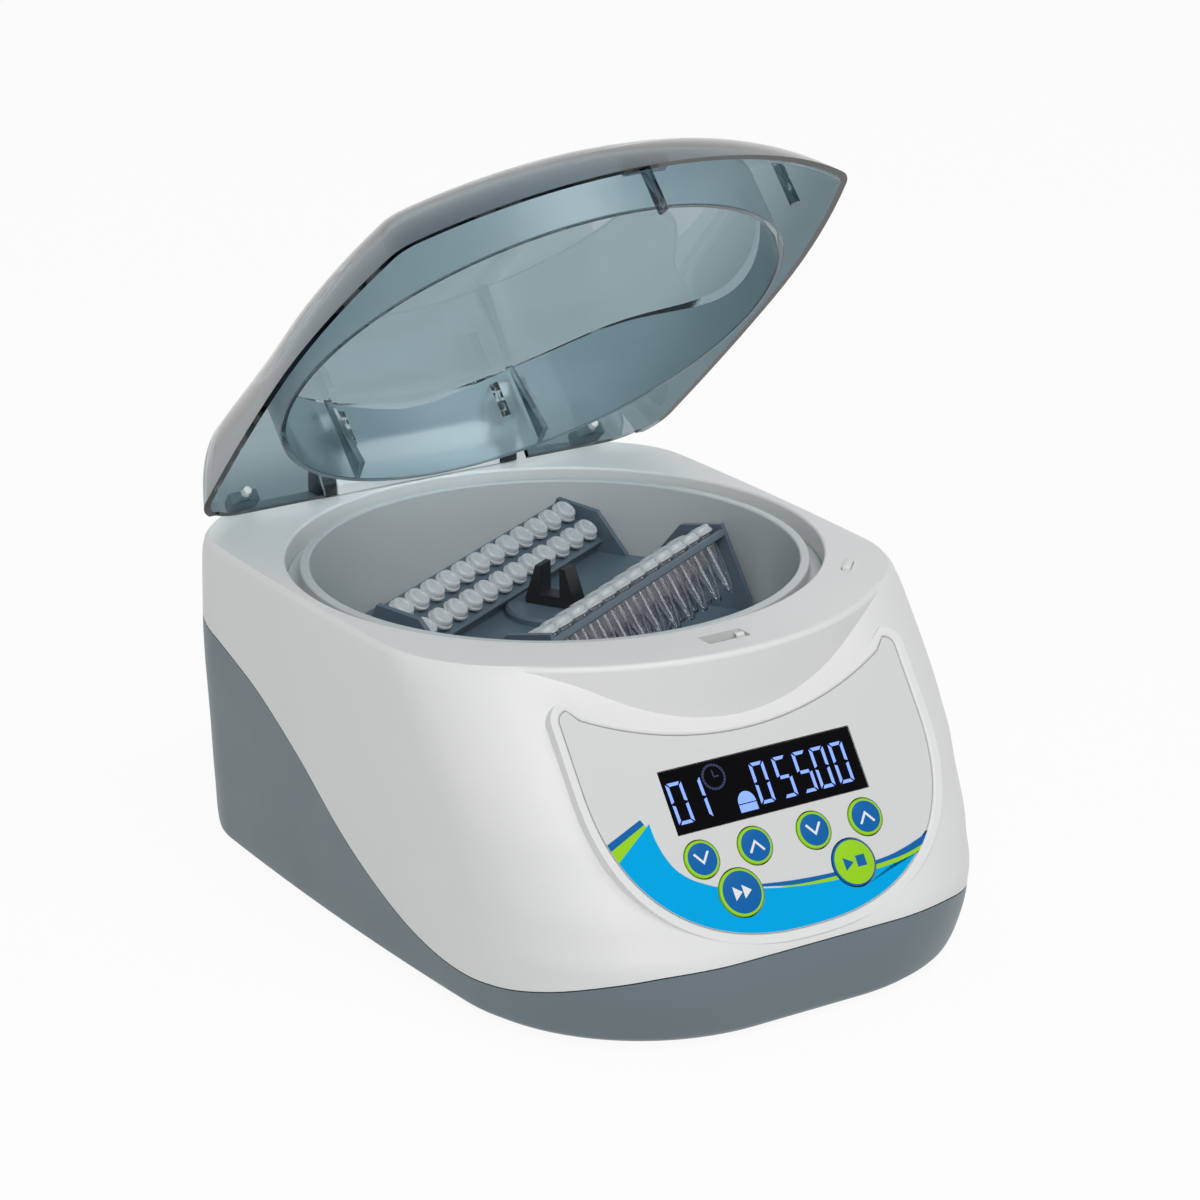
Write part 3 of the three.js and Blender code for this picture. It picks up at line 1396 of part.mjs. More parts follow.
function node(group, name, finish, body) {
  const mesh = new THREE.Mesh(geometryOf(body), new THREE.MeshStandardMaterial(finishes[finish]));
  mesh.name = name;
  group.add(mesh);
}

const sides = { left: -1, right: 1 };

node(housingGroup, 'upper_housing', 'white', upperHousing());
node(housingGroup, 'lower_housing', 'grey', lowerHousing());
node(housingGroup, 'bowl', 'bowl', bowl());
node(housingGroup, 'panel_overlay', 'overlay', panelOverlay());
node(housingGroup, 'display_window', 'glass', solid(onPanel(windowBox(0, -windowThickness, 0))));
node(housingGroup, 'display_module', 'glass', displayModule());
node(housingGroup, 'control_board', 'board', controlBoard());
for (const key of keys) node(housingGroup, key.name, key.name === 'key_run' ? 'lime' : 'blue', keyCap(key));
node(housingGroup, 'hinge_block', 'white', hingeBlock());
node(housingGroup, 'lid_lock_bracket', 'steel', lockBracket());
node(housingGroup, 'lid_lock_bolt', 'steel', lockBolt());
node(housingGroup, 'lid_lock_actuator', 'black', lockActuator());
node(housingGroup, 'lid_sensor_lever', 'white', sensorLever());
node(housingGroup, 'lid_sensor_switch', 'black', sensorSwitch());
node(housingGroup, 'motor_body', 'aluminium', motorBody());
node(housingGroup, 'motor_plate', 'aluminium', motorPlate());
node(housingGroup, 'shaft_seal', 'rubber', shaftSeal());
node(housingGroup, 'main_board', 'board', mainBoard());
node(housingGroup, 'switch_bezel', 'black', switchBezel());
node(housingGroup, 'power_rocker', 'black', powerRocker());
node(housingGroup, 'power_socket', 'black', powerSocket());
damperAngles.forEach((angle, i) => node(housingGroup, `motor_damper_${i + 1}`, 'rubber', damper(angle)));
footPlaceShares.forEach((place, i) => node(housingGroup, `foot_${i + 1}`, 'rubber', foot(placeOnFloor(place))));
screwPlaceShares.forEach((place, i) => {
  node(housingGroup, `case_screw_${i + 1}`, 'steel', caseScrew(placeOnFloor(place)));
});

node(lidGroup, 'lid_shell', 'smoke', lidShell());
node(lidGroup, 'lid_hook', 'strip', lidHook());
node(lidGroup, 'lid_sensor_peg', 'strip', sensorPeg());
for (const [name, side] of Object.entries(sides)) {
  node(housingGroup, `hinge_lug_${name}`, 'black', hingeLug(side));
  node(lidGroup, `hinge_pin_${name}`, 'steel', pinBar(side, hingePinRadius, 0));
  node(lidGroup, `lid_pad_${name}`, 'strip', lidPad(side));
}

node(rotorGroup, 'rotor_body', 'rotor', rotorBody());
node(rotorGroup, 'motor_shaft', 'steel', motorShaft());
node(rotorGroup, 'hub_clip', 'black', hubClip());
const rows = [-1, 1].flatMap((side) => rowShifts.map((shift) => ({ side, shift })));
rows.forEach(({ side, shift }, i) => {
  node(rotorGroup, `strip_tubes_${i + 1}`, 'strip', stripTubes(side, shift));
  node(rotorGroup, `strip_caps_${i + 1}`, 'strip', stripCaps(side, shift));
});

rotorGroup.rotation.z = rotorTurn;

// The lid is made shut and stands open: it is turned back about the hinge axis
const lidPivot = new THREE.Group();
lidPivot.position.set(0, hingeReach, hingeZ);
lidPivot.rotation.x = -lidAngle;
lidGroup.position.set(0, -hingeReach, -hingeZ);
lidPivot.add(lidGroup);

// The middle of the whole object's box along Y goes over the origin
centrifuge.add(housingGroup, rotorGroup, lidPivot);
const extents = new THREE.Box3().setFromObject(centrifuge, true);
centrifuge.position.y = -(extents.min.y + extents.max.y) / 2;

export default centrifuge;
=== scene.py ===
# Looks of a small bench centrifuge with an open smoked lid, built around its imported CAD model.
# Lengths are millimetres in the CAD part's own frame (bowl axis at x = y = 0, bench at z = 0)
# and are turned into metres in the row frame when a mesh is made.

import json
from math import atan, atan2, cos, dist, hypot, pi, radians, sin, sqrt, tan

import bmesh
import bpy
import numpy as np
from mathutils import Matrix, Vector


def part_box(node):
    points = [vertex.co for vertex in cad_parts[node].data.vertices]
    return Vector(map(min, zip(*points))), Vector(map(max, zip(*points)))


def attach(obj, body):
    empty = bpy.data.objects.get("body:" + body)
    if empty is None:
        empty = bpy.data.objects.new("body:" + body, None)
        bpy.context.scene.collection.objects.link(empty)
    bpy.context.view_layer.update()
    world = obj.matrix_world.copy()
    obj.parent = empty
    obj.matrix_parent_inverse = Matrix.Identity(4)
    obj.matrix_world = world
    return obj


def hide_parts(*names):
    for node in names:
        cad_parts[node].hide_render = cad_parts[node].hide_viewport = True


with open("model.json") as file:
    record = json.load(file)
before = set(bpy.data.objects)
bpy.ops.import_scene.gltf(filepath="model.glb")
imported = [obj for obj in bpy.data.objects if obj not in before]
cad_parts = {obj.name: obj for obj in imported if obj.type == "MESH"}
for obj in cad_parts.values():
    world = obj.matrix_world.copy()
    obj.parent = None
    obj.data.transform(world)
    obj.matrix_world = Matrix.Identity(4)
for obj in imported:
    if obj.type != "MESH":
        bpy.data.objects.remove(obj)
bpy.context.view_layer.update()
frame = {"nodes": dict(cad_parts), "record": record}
nodes = frame["nodes"]

MM = 0.001
bowl_low, bowl_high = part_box("bowl")
AXIS_Y = (bowl_low.y + bowl_high.y) / 2

# Sizes of the CAD part
FOOT, HEIGHT = 1.5, 98.0
TOP = FOOT + HEIGHT
LIP = TOP - 2.0
HALF_WIDTH, BULGE, REAR, REAR_RADIUS = 81.4, 3.4, 91.0, 32.0
CHIN, FRONT_RADIUS, WALL, TOP_WALL, BASE_WALL = 136.8, 55.0, 2.8, 2.8, 2.6
SLOPE = radians(54.7)
PANEL_REACH, PANEL_Z = 109.85, TOP - 36.3
FACE_PROUD = 0.4
BOWL_R, BOWL_LIP, BOWL_FLOOR_R, BOWL_DEPTH, BOWL_WALL = 72.5, 3.0, 69.0, 44.0, 2.2
MOUTH_R, GROOVE, FLANGE = 79.6, 5.0, 2.5
HINGE_Y, HINGE_Z = 82.1, TOP + 16.3
LID_ANGLE = radians(43.0)
GAP, RUN = 0.3, 0.6
ROTOR_TURN = radians(30.0)
RACK_TILT, RACK_Y, RACK_DROP = radians(32.0), 22.5, 3.0
OVER = 4.0  # how far a cutting solid reaches past what it cuts

# ---- placing

HOUSING = Matrix.Identity(4)
ROTOR = Matrix.Rotation(ROTOR_TURN, 4, "Z")
LID = (Matrix.Translation((0, HINGE_Y, HINGE_Z)) @ Matrix.Rotation(-LID_ANGLE, 4, "X")
       @ Matrix.Translation((0, -HINGE_Y, -HINGE_Z)))
PANEL = Matrix(((1, 0, 0, 0),
                (0, cos(SLOPE), -sin(SLOPE), -PANEL_REACH),
                (0, sin(SLOPE), cos(SLOPE), PANEL_Z),
                (0, 0, 0, 1)))


def rack_frame(side):
    """Frame of a tilted rack: X along its strips, Z out of its tubes' mouths."""
    c, s = cos(RACK_TILT), sin(RACK_TILT)
    return ROTOR @ Matrix(((side, 0, 0, 0),
                           (0, side * c, -side * s, side * RACK_Y),
                           (0, s, c, LIP - RACK_DROP),
                           (0, 0, 0, 1)))


def to_row(points, place=HOUSING):
    """Millimetre points of a part frame as metre points of the row frame."""
    m = np.array(place)
    p = np.asarray(points, float).reshape(-1, 3) @ m[:3, :3].T + m[:3, 3]
    return p * MM + np.array([0, AXIS_Y, 0])


# ---- mesh helpers

def add_object(name, data):
    obj = bpy.data.objects.new(name, data)
    bpy.context.scene.collection.objects.link(obj)
    return obj


def new_mesh(name, points, faces, place=HOUSING):
    mesh = bpy.data.meshes.new(name)
    mesh.from_pydata([tuple(p) for p in to_row(points, place)], [], faces)
    mesh.validate()
    bm = bmesh.new()
    bm.from_mesh(mesh)
    bmesh.ops.remove_doubles(bm, verts=bm.verts, dist=1e-7)
    bmesh.ops.recalc_face_normals(bm, faces=bm.faces)
    bm.to_mesh(mesh)
    bm.free()
    return add_object(name, mesh)


def arc(cx, cy, radius, start, end, steps):
    return [(cx + radius * cos(start + (end - start) * i / steps),
             cy + radius * sin(start + (end - start) * i / steps)) for i in range(steps + 1)]


def circle(cx, cy, radius, segments):
    turns = [2 * pi * k / segments for k in range(segments)]
    return [(cx + radius * cos(t), cy + radius * sin(t)) for t in turns]


def rectangle(x0, x1, y0, y1):
    return [(x0, y0), (x1, y0), (x1, y1), (x0, y1)]


def mirrored(half):
    """A whole outline from its half at x >= 0, whose first and last points lie on x = 0."""
    return list(half) + [(-x, y) for x, y in reversed(half[1:-1])]


def anticlockwise(outline):
    area = sum(a[0] * b[1] - b[0] * a[1] for a, b in zip(outline, outline[1:] + outline[:1]))
    return outline if area > 0 else outline[::-1]


def catmull_rom(p, i, w):
    """Point of the smooth curve through the array p, at share w of the way from p[i] to p[i + 1]."""
    p0, p1, p2, p3 = p[max(i - 1, 0)], p[i], p[i + 1], p[min(i + 2, len(p) - 1)]
    v0, v1 = (p2 - p0) / 2, (p3 - p1) / 2
    return ((2 * p1 - 2 * p2 + v0 + v1) * w ** 3 + (-3 * p1 + 3 * p2 - 2 * v0 - v1) * w ** 2
        + v0 * w + p1)


def side_span(side, near, far):
    """The span near..far on the right side (side 1), or its mirror image on the left (side -1)."""
    return (near, far) if side > 0 else (-far, -near)


def loft(name, rings, place=HOUSING):
    """A closed skin over a stack of rings that have the same number of points."""
    count = len(rings[0])
    points = [p for ring in rings for p in ring]
    faces = []
    for level in range(len(rings) - 1):
        a, b = level * count, (level + 1) * count
        for i in range(count):
            j = (i + 1) % count
            faces.append((a + i, a + j, b + j, b + i))
    faces.append(tuple(range(count))[::-1])
    faces.append(tuple((len(rings) - 1) * count + i for i in range(count)))
    return new_mesh(name, points, faces, place)


def revolve(name, profile, segments, place=HOUSING):
    """A closed profile of (radius, z) points turned round the Z axis."""
    points, rings = [], []
    for r, z in profile:
        ring = circle(0, 0, r, segments) if r > 1e-6 else [(0, 0)]
        rings.append(range(len(points), len(points) + len(ring)))
        points += [(x, y, z) for x, y in ring]
    pairs = list(zip(rings, rings[1:]))
    if len(rings[0]) > 1 or len(rings[-1]) > 1:
        pairs.append((rings[-1], rings[0]))
    faces = []
    for a, b in pairs:
        for k in range(segments):
            j = (k + 1) % segments
            if len(a) == 1 and len(b) == 1:
                continue
            if len(a) == 1:
                faces.append((a[0], b[k], b[j]))
            elif len(b) == 1:
                faces.append((a[k], a[j], b[0]))
            else:
                faces.append((a[k], a[j], b[j], b[k]))
    return new_mesh(name, points, faces, place)


def prism(name, outline, low, high, place=HOUSING, along=2):
    """An outline extruded along axis 0, 1 or 2; its points hold the other two coordinates."""
    return loft(name, [[(*p[:along], at, *p[along:]) for p in outline] for at in (low, high)], place)


def side_prism(name, outline, x0, x1, place=HOUSING):
    """An outline of (y, z) points, extruded along X."""
    return prism(name, outline, x0, x1, place, 0)


def deep_prism(name, outline, y0, y1, place=HOUSING):
    """An outline of (x, z) points, extruded along Y."""
    return prism(name, outline, y0, y1, place, 1)


def block(name, x0, x1, y0, y1, z0, z1, place=HOUSING):
    return prism(name, rectangle(x0, x1, y0, y1), z0, z1, place)


def rod(name, radius, z0, z1, x=0.0, y=0.0, segments=48, place=HOUSING):
    return prism(name, circle(x, y, radius, segments), z0, z1, place)


def cross_rod(name, radius, x0, x1, y, z, segments, place=HOUSING):
    return side_prism(name, circle(y, z, radius, segments), x0, x1, place)


def combine(base, tools, operation):
    """Joins, cuts or crosses a solid with other solids, which are used up."""
    for tool in tools:
        modifier = base.modifiers.new("combine", "BOOLEAN")
        modifier.operation = operation
        modifier.solver = "MANIFOLD"
        modifier.object = tool
        bpy.context.view_layer.update()
        made = bpy.data.meshes.new_from_object(base.evaluated_get(bpy.context.evaluated_depsgraph_get()))
        if len(made.polygons) == 0:
            raise RuntimeError("an empty solid came from " + base.name + " and " + tool.name)
        base.modifiers.clear()
        old, base.data = base.data, made
        bpy.data.meshes.remove(old)
        bpy.data.objects.remove(tool)
    return base


def joined(base, *tools):
    return combine(base, tools, "UNION")


def cut(base, *tools):
    return combine(base, tools, "DIFFERENCE")


def crossed(base, *tools):
    return combine(base, tools, "INTERSECT")


def merge(name, objects):
    """One object from several loose shells, without a boolean."""
    bm = bmesh.new()
    for obj in objects:
        bm.from_mesh(obj.data)
    mesh = bpy.data.meshes.new(name)
    bm.to_mesh(mesh)
    bm.free()
    for obj in objects:
        bpy.data.objects.remove(obj)
    return add_object(name, mesh)


def finish_piece(obj, mat, body, slot, stands_for=(), angle=35.0, weighted=True):
    """Gives a piece its material, shading and body, and hides the CAD nodes it stands for."""
    obj.data.materials.clear()
    obj.data.materials.append(mat)
    obj.data.shade_smooth()
    obj.data.set_sharp_from_angle(angle=radians(angle))
    if weighted:
        normals = obj.modifiers.new("normals", "WEIGHTED_NORMAL")
        normals.keep_sharp = True
        normals.weight = 80
    if stands_for:
        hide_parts(*stands_for)
    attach(obj, body)
    return obj


def smooth_through(xs, ys):
    """Monotone cubic through points, as a function."""
    xs, ys = np.array(xs, float), np.array(ys, float)
    h, d = np.diff(xs), np.diff(ys) / np.diff(xs)
    m = np.zeros(len(xs))
    for i in range(1, len(xs) - 1):
        if d[i - 1] * d[i] > 0:
            w1, w2 = 2 * h[i] + h[i - 1], h[i] + 2 * h[i - 1]
            m[i] = (w1 + w2) / (w1 / d[i - 1] + w2 / d[i])
    m[0], m[-1] = d[0], d[-1]

    def at(x):
        i = int(min(max(np.searchsorted(xs, x) - 1, 0), len(xs) - 2))
        t = (x - xs[i]) / h[i]
        return ((2 * t ** 3 - 3 * t ** 2 + 1) * ys[i] + (t ** 3 - 2 * t ** 2 + t) * h[i] * m[i]
            + (3 * t ** 2 - 2 * t ** 3) * ys[i + 1] + (t ** 3 - t ** 2) * h[i] * m[i + 1])
    return at


# ---- housing form

SWELL_Y, SWELL_REACH = 8, 98


def housing_outline(front, half_width, corner_radius, rear, inset, fine):
    """Plan of the housing: flat front, round corners, sides that swell outwards by up to BULGE."""
    reach, side, back = front - inset, half_width - inset, rear - inset
    corner, rear_corner = corner_radius - inset, REAR_RADIUS - inset
    n_front, n_corner, n_side, n_rear = (4, 28, 14, 20) if fine else (2, 8, 4, 6)
    half = [((side - corner) * i / n_front, -reach) for i in range(n_front)]
    half += arc(side - corner, corner - reach, corner, -pi / 2, 0, n_corner)
    half += [(side, (corner - reach) + (back - rear_corner - corner + reach) * i / n_side)
             for i in range(1, n_side)]
    half += arc(side - rear_corner, back - rear_corner, rear_corner, 0, pi / 2, n_rear)
    half.append((0, back))
    return mirrored([(x + BULGE * max(0.0, 1 - ((y - SWELL_Y) / SWELL_REACH) ** 2) * (x / side) ** 2, y)
                     for x, y in half])


def slope_reach(z):
    return PANEL_REACH + FACE_PROUD / sin(SLOPE) + (PANEL_Z - z) / tan(SLOPE)


REAR_FOOT_SHARE, REAR_SLANT = 1.055, .06


def rear_wall(z):
    return REAR * (REAR_FOOT_SHARE - REAR_SLANT * (z - FOOT) / HEIGHT)


CHIN_TOP = .272
LEVELS = [  # shares of height, width and front corner, edge in mm, front share (None on the sloping face)
    (0, .925, 1.04, 1.6, .963), (.02, .946, 1.04, .3, .977), (.077, .955, 1.02, 0, .99),
    (.16, .961, .99, 0, 1), (.23, .967, .97, 0, .998), (CHIN_TOP, .97, .955, 0, None),
    (.38, .977, .84, 0, None), (.49, .986, .78, 0, None), (.6, .995, .715, 0, None),
    (.72, 1, .705, 0, None), (.93, .998, .74, 0, None), (.98, .99, .75, .5, None),
    (1, .975, .75, 1.4, None),
]
SHARES, WIDTHS, CORNERS, EDGES, FRONTS = zip(*LEVELS)
width_at, corner_at, edge_at = (smooth_through(SHARES, values) for values in (WIDTHS, CORNERS, EDGES))
front_at = smooth_through(SHARES, [CHIN * front if front else slope_reach(FOOT + HEIGHT * share)
                                   for share, front in zip(SHARES, FRONTS)])


def level_ring(share, z, front_inset=0.0, edge=0.0, wall=0.0, fine=True):
    """Outline of the housing at a share of its height, drawn at height z."""
    front = (slope_reach(z) if share > CHIN_TOP else front_at(share)) - front_inset
    outline = housing_outline(front, HALF_WIDTH * width_at(share), FRONT_RADIUS * corner_at(share),
        rear_wall(z) - edge, wall, fine)
    return [(x, y, z) for x, y in outline]


def housing_block(name):
    shares = []
    for a, b in zip(SHARES, SHARES[1:]):
        steps = max(3, int(round((b - a) / .02)))
        shares += [a + (b - a) * i / steps for i in range(steps)]
    shares.append(1.0)
    return loft(name, [level_ring(share, FOOT + HEIGHT * share, edge=edge_at(share)) for share in shares])


def housing_cavity(name):
    levels = [(.02, FOOT + BASE_WALL)]
    levels += [(share, FOOT + HEIGHT * share) for share in (.16, CHIN_TOP, .49, .72)]
    levels.append((.93, TOP - TOP_WALL))
    slope_inset = WALL / sin(SLOPE) - WALL
    return loft(name, [level_ring(share, z, slope_inset, wall=WALL, fine=False) for share, z in levels])


# The round brow of the cover, under the bowl's mouth and over the panel
VISOR_Y, VISOR_R, VISOR_LOW_R, VISOR_HALF, VISOR_ROUND = 7.4, 94.1, 91.0, 69.0, 1.6
VISOR_LOW = TOP - 22.0


def front_of_disc(name, profile, segments, half, z0, z1):
    disc = revolve(name, profile, segments)
    disc.data.transform(Matrix.Translation((0, -VISOR_Y * MM, 0)))
    return crossed(disc, block("front", -half, half, -2 * VISOR_R, -VISOR_R / 2, z0, z1))


def visor(name):
    edge = arc(VISOR_R - VISOR_ROUND, TOP - VISOR_ROUND, VISOR_ROUND, 0, pi / 2, 8)
    profile = [(0, VISOR_LOW), (VISOR_LOW_R, VISOR_LOW)] + edge + [(0, TOP)]
    return front_of_disc(name, profile, 240, VISOR_HALF, VISOR_LOW - OVER, TOP + OVER)


def visor_cavity(name):
    ceiling = TOP - TOP_WALL
    profile = [(0, VISOR_LOW), (VISOR_LOW_R - WALL, VISOR_LOW), (VISOR_R - WALL, ceiling), (0, ceiling)]
    return front_of_disc(name, profile, 64, VISOR_HALF - WALL, VISOR_LOW, ceiling)


# Line between cover and base, from the rear to the front: shares of REAR and of HEIGHT
SEAM = [(1.25, .79), (1.1, .78), (.75, .735), (.5, .675), (.3, .605), (.08, .485), (-.14, .335),
    (-.35, .225), (-.56, .145), (-.78, .108), (-1, .118), (-1.2, .155), (-1.38, .205), (-1.48, .232),
    (-1.62, .24)]


def below_seam(name, drop):
    """Everything that lies lower than the seam, less a drop."""
    p, steps, line = np.array([(REAR * a, FOOT + HEIGHT * b) for a, b in SEAM]), 140, []
    for k in range(steps + 1):
        q = (len(p) - 1) * k / steps
        i = min(int(q), len(p) - 2)
        y, z = catmull_rom(p, i, q - i)
        line.append((y, z - drop))
    outline = [(line[0][0], -OVER)] + line + [(line[-1][0], -OVER)]
    reach = HALF_WIDTH + BULGE + OVER
    return side_prism(name, outline, -reach, reach)


PANEL_HALF, SHOULDER, SMILE, BOTTOM, WIDEST, POWER, PANEL_CORNER = 56.0, 31.5, 15.4, 42.2, 10.0, 2.35, 3.0
SMILE_R = (PANEL_HALF ** 2 + (SHOULDER - SMILE) ** 2) / (2 * (SHOULDER - SMILE))


def edge_point(angle, grow=0.0):
    """Point of the panel's lower edge; angle 0 is the middle and +-90 degrees the widest places."""
    side = 1 if angle >= 0 else -1
    a = abs(angle)
    return (side * (PANEL_HALF + grow) * sin(a) ** (2 / POWER),
        WIDEST - (BOTTOM + WIDEST + grow) * max(0.0, cos(a)) ** (2 / POWER))


def panel_outline(grow):
    """The panel's outline, widened by grow: superelliptic foot, round shoulders, hollow top."""
    steps, widest = 40, PANEL_HALF + grow
    half = [edge_point(pi / 2 * i / steps, grow) for i in range(steps + 1)]
    corner, shoulder = PANEL_CORNER + grow, SHOULDER + grow
    half += arc(widest - corner, shoulder - corner, corner, 0, pi / 2, 8)
    centre, radius, reach = SMILE + SMILE_R, SMILE_R - grow, widest - corner * 2
    for i in range(steps // 2 + 1):
        across = reach * (1 - i / (steps // 2))
        half.append((across, centre - sqrt(radius ** 2 - across ** 2)))
    return mirrored(half)


KEY_OUT, KEY_IN, KEY_V, KEY_R = 27.4, 9.85, -17.05, 5.4
BIG_KEY_U, BIG_KEY_V, BIG_KEY_R = 18.85, -28.6, 6.9
KEYS = [("key_time_down", -KEY_OUT, KEY_V, KEY_R), ("key_time_up", -KEY_IN, KEY_V, KEY_R),
    ("key_speed_down", KEY_IN, KEY_V, KEY_R), ("key_speed_up", KEY_OUT, KEY_V, KEY_R),
    ("key_pulse", -BIG_KEY_U, BIG_KEY_V, BIG_KEY_R), ("key_run", BIG_KEY_U, BIG_KEY_V, BIG_KEY_R)]
WINDOW_U, WINDOW_V = 31.8, 9


def window_box(name, grow, w0, w1):
    half_u, half_v = WINDOW_U + grow, WINDOW_V + grow
    return block(name, -half_u, half_u, -half_v, half_v, w0, w1, PANEL)


def key_holes(w0, segments):
    return [rod("key_hole", r + GAP, w0, OVER, u, v, segments, PANEL) for _, u, v, r in KEYS]


LOCK_Y, LOCK_HALF_X, LOCK_HALF_Y = -89.8, 7, 3.2
SENSOR_ANGLE, SENSOR_R = radians(-43.6), 87.4
SENSOR = (Matrix.Translation((SENSOR_R * cos(SENSOR_ANGLE), SENSOR_R * sin(SENSOR_ANGLE), 0))
          @ Matrix.Rotation(SENSOR_ANGLE + pi / 2, 4, "Z"))
SENSOR_HALF_X, SENSOR_HALF_Y = 4, 1.5
PAD_DEPTH, SKIRT_LOW, SKIRT_WALL, MOUTH_ROUND = 6, TOP - 12, 2.4, .9
FLANGE_TOP = LIP - GROOVE
FLANGE_LOW = FLANGE_TOP - FLANGE


def upper_housing():
    shell = joined(housing_block("cover"), visor("visor"), prism("pad", panel_outline(3.0), -PAD_DEPTH,
        FACE_PROUD + .1, PANEL))
    shell = cut(shell, housing_cavity("cavity"), visor_cavity("visor_cavity"))
    shelf, skirt, skirt_top = BOWL_R + BOWL_WALL + 1.8, MOUTH_R + SKIRT_WALL, TOP - TOP_WALL / 2
    shell = joined(shell, revolve("skirt", [(shelf, SKIRT_LOW), (skirt, SKIRT_LOW), (skirt, skirt_top),
        (shelf, skirt_top)], 96))
    edge = arc(MOUTH_R + MOUTH_ROUND, TOP - MOUTH_ROUND, MOUTH_ROUND, pi, pi / 2, 5)
    mouth = revolve("mouth", [(0, FLANGE_LOW - GAP), (MOUTH_R, FLANGE_LOW - GAP)] + edge
        + [(MOUTH_R + MOUTH_ROUND, TOP + OVER), (0, TOP + OVER)], 240)
    recess = [[(x, y, w) for x, y in panel_outline(grow)] for grow, w in
              ((.3, -.6), (.3, -.05), (.45, .2), (.8, .42), (1.5, .62), (1.5, OVER))]
    slot_low, slot_top = TOP - TOP_WALL - OVER, TOP + OVER
    tools = [mouth, rod("shelf_bore", shelf, SKIRT_LOW - OVER, TOP, segments=96),
        loft("recess", recess, PANEL), window_box("display_hole", -2, -PAD_DEPTH - OVER, OVER),
        window_box("window_pocket", GAP, -1.5, OVER), *key_holes(-PAD_DEPTH - OVER, 48),
        block("lock_slot", -LOCK_HALF_X, LOCK_HALF_X, LOCK_Y - LOCK_HALF_Y, LOCK_Y + LOCK_HALF_Y,
        slot_low, slot_top), block("sensor_slot", -SENSOR_HALF_X, SENSOR_HALF_X, -SENSOR_HALF_Y,
        SENSOR_HALF_Y, slot_low, slot_top, SENSOR), below_seam("seam", 0)]
    return cut(shell, *tools)


# Places in the base as shares of HALF_WIDTH and REAR, and what is let into its rear wall
FEET = [(-.64, -1.02), (.64, -1.02), (-.66, .68), (.66, .68)]
SCREWS = [(-.47, -1.2), (.47, -1.2), (-.78, .33), (.78, .33)]
FOOT_POCKET_R, FOOT_POCKET, SCREW_POCKET_R, SCREW_POCKET = 8.8, 1, 3.5, 2.4
VENTS, VENT_X, VENT_PITCH, VENT_HALF, VENT_LOW, VENT_HIGH = 8, 22, 6, 1.3, 21.3, 40.7
SWITCH_X, SWITCH_HALF_X, SWITCH_HALF_Z, BEZEL, SWITCH_DEPTH = -34, 5.2, 8, 1.4, 15
SOCKET_X, SOCKET_R, SOCKET_DEPTH, REAR_FITTINGS_Z = -14, 5.8, 13, 26
SEAM_GAP = .4
REAR_LEAN = atan(REAR_SLANT * REAR / HEIGHT)


def rear_frame(x):
    """Frame on the leaning rear wall, with Y straight out of it."""
    return (Matrix.Translation((x, rear_wall(REAR_FITTINGS_Z), REAR_FITTINGS_Z))
        @ Matrix.Rotation(REAR_LEAN, 4, "X"))


def lower_housing():
    shell = crossed(housing_block("base"), below_seam("seam", SEAM_GAP))
    shell = cut(shell, housing_cavity("cavity"))
    tools = []
    for i in range(VENTS):
        x = VENT_X + (i - (VENTS - 1) / 2) * VENT_PITCH
        slot = arc(x, VENT_HIGH, VENT_HALF, 0, pi, 8) + arc(x, VENT_LOW, VENT_HALF, pi, 2 * pi, 8)
        tools.append(deep_prism("vent", slot, REAR - REAR_RADIUS, REAR * REAR_FOOT_SHARE + OVER))
    pockets = [(place, FOOT_POCKET_R, FOOT_POCKET, 48) for place in FEET]
    pockets += [(place, SCREW_POCKET_R, SCREW_POCKET, 24) for place in SCREWS]
    tools += [rod("pocket", radius, FOOT - OVER, FOOT + depth, HALF_WIDTH * a, REAR * b, segments)
              for (a, b), radius, depth, segments in pockets]
    half_x, half_z = SWITCH_HALF_X + GAP + BEZEL + GAP, SWITCH_HALF_Z + RUN * 2 + BEZEL + GAP
    tools.append(block("switch_hole", -half_x, half_x, -SWITCH_DEPTH, OVER, -half_z, half_z,
        rear_frame(SWITCH_X)))
    tools.append(deep_prism("socket_hole", circle(0, 0, SOCKET_R, 48), -SOCKET_DEPTH, OVER,
        rear_frame(SOCKET_X)))
    return cut(shell, *tools)


BOWL_HOLE_R, BOWL_FILLET, LIP_ROUND, LIP_FOOT = 5.5, 6, .7, .6


def bowl():
    floor, outer_lip, flange_r = LIP - BOWL_DEPTH, BOWL_R + BOWL_LIP, MOUTH_R - GAP
    low, low_r = floor - BOWL_WALL, BOWL_FLOOR_R + BOWL_WALL
    profile = [(BOWL_HOLE_R, low), (low_r - BOWL_FILLET, low), (low_r, floor + BOWL_FILLET - BOWL_WALL),
               (BOWL_R + BOWL_WALL, FLANGE_LOW), (flange_r, FLANGE_LOW), (flange_r, FLANGE_TOP),
               (outer_lip + LIP_FOOT, FLANGE_TOP), (outer_lip, FLANGE_TOP + LIP_FOOT)]
    profile += arc(outer_lip - LIP_ROUND, LIP - LIP_ROUND, LIP_ROUND, 0, pi / 2, 5)
    profile += arc(BOWL_R + LIP_ROUND, LIP - LIP_ROUND, LIP_ROUND, pi / 2, pi, 5)
    profile += arc(BOWL_FLOOR_R - BOWL_FILLET, floor + BOWL_FILLET, BOWL_FILLET, 0, -pi / 2, 8)
    profile.append((BOWL_HOLE_R, floor))
    return revolve("bowl_liner", profile, 240)


# ---- lid form

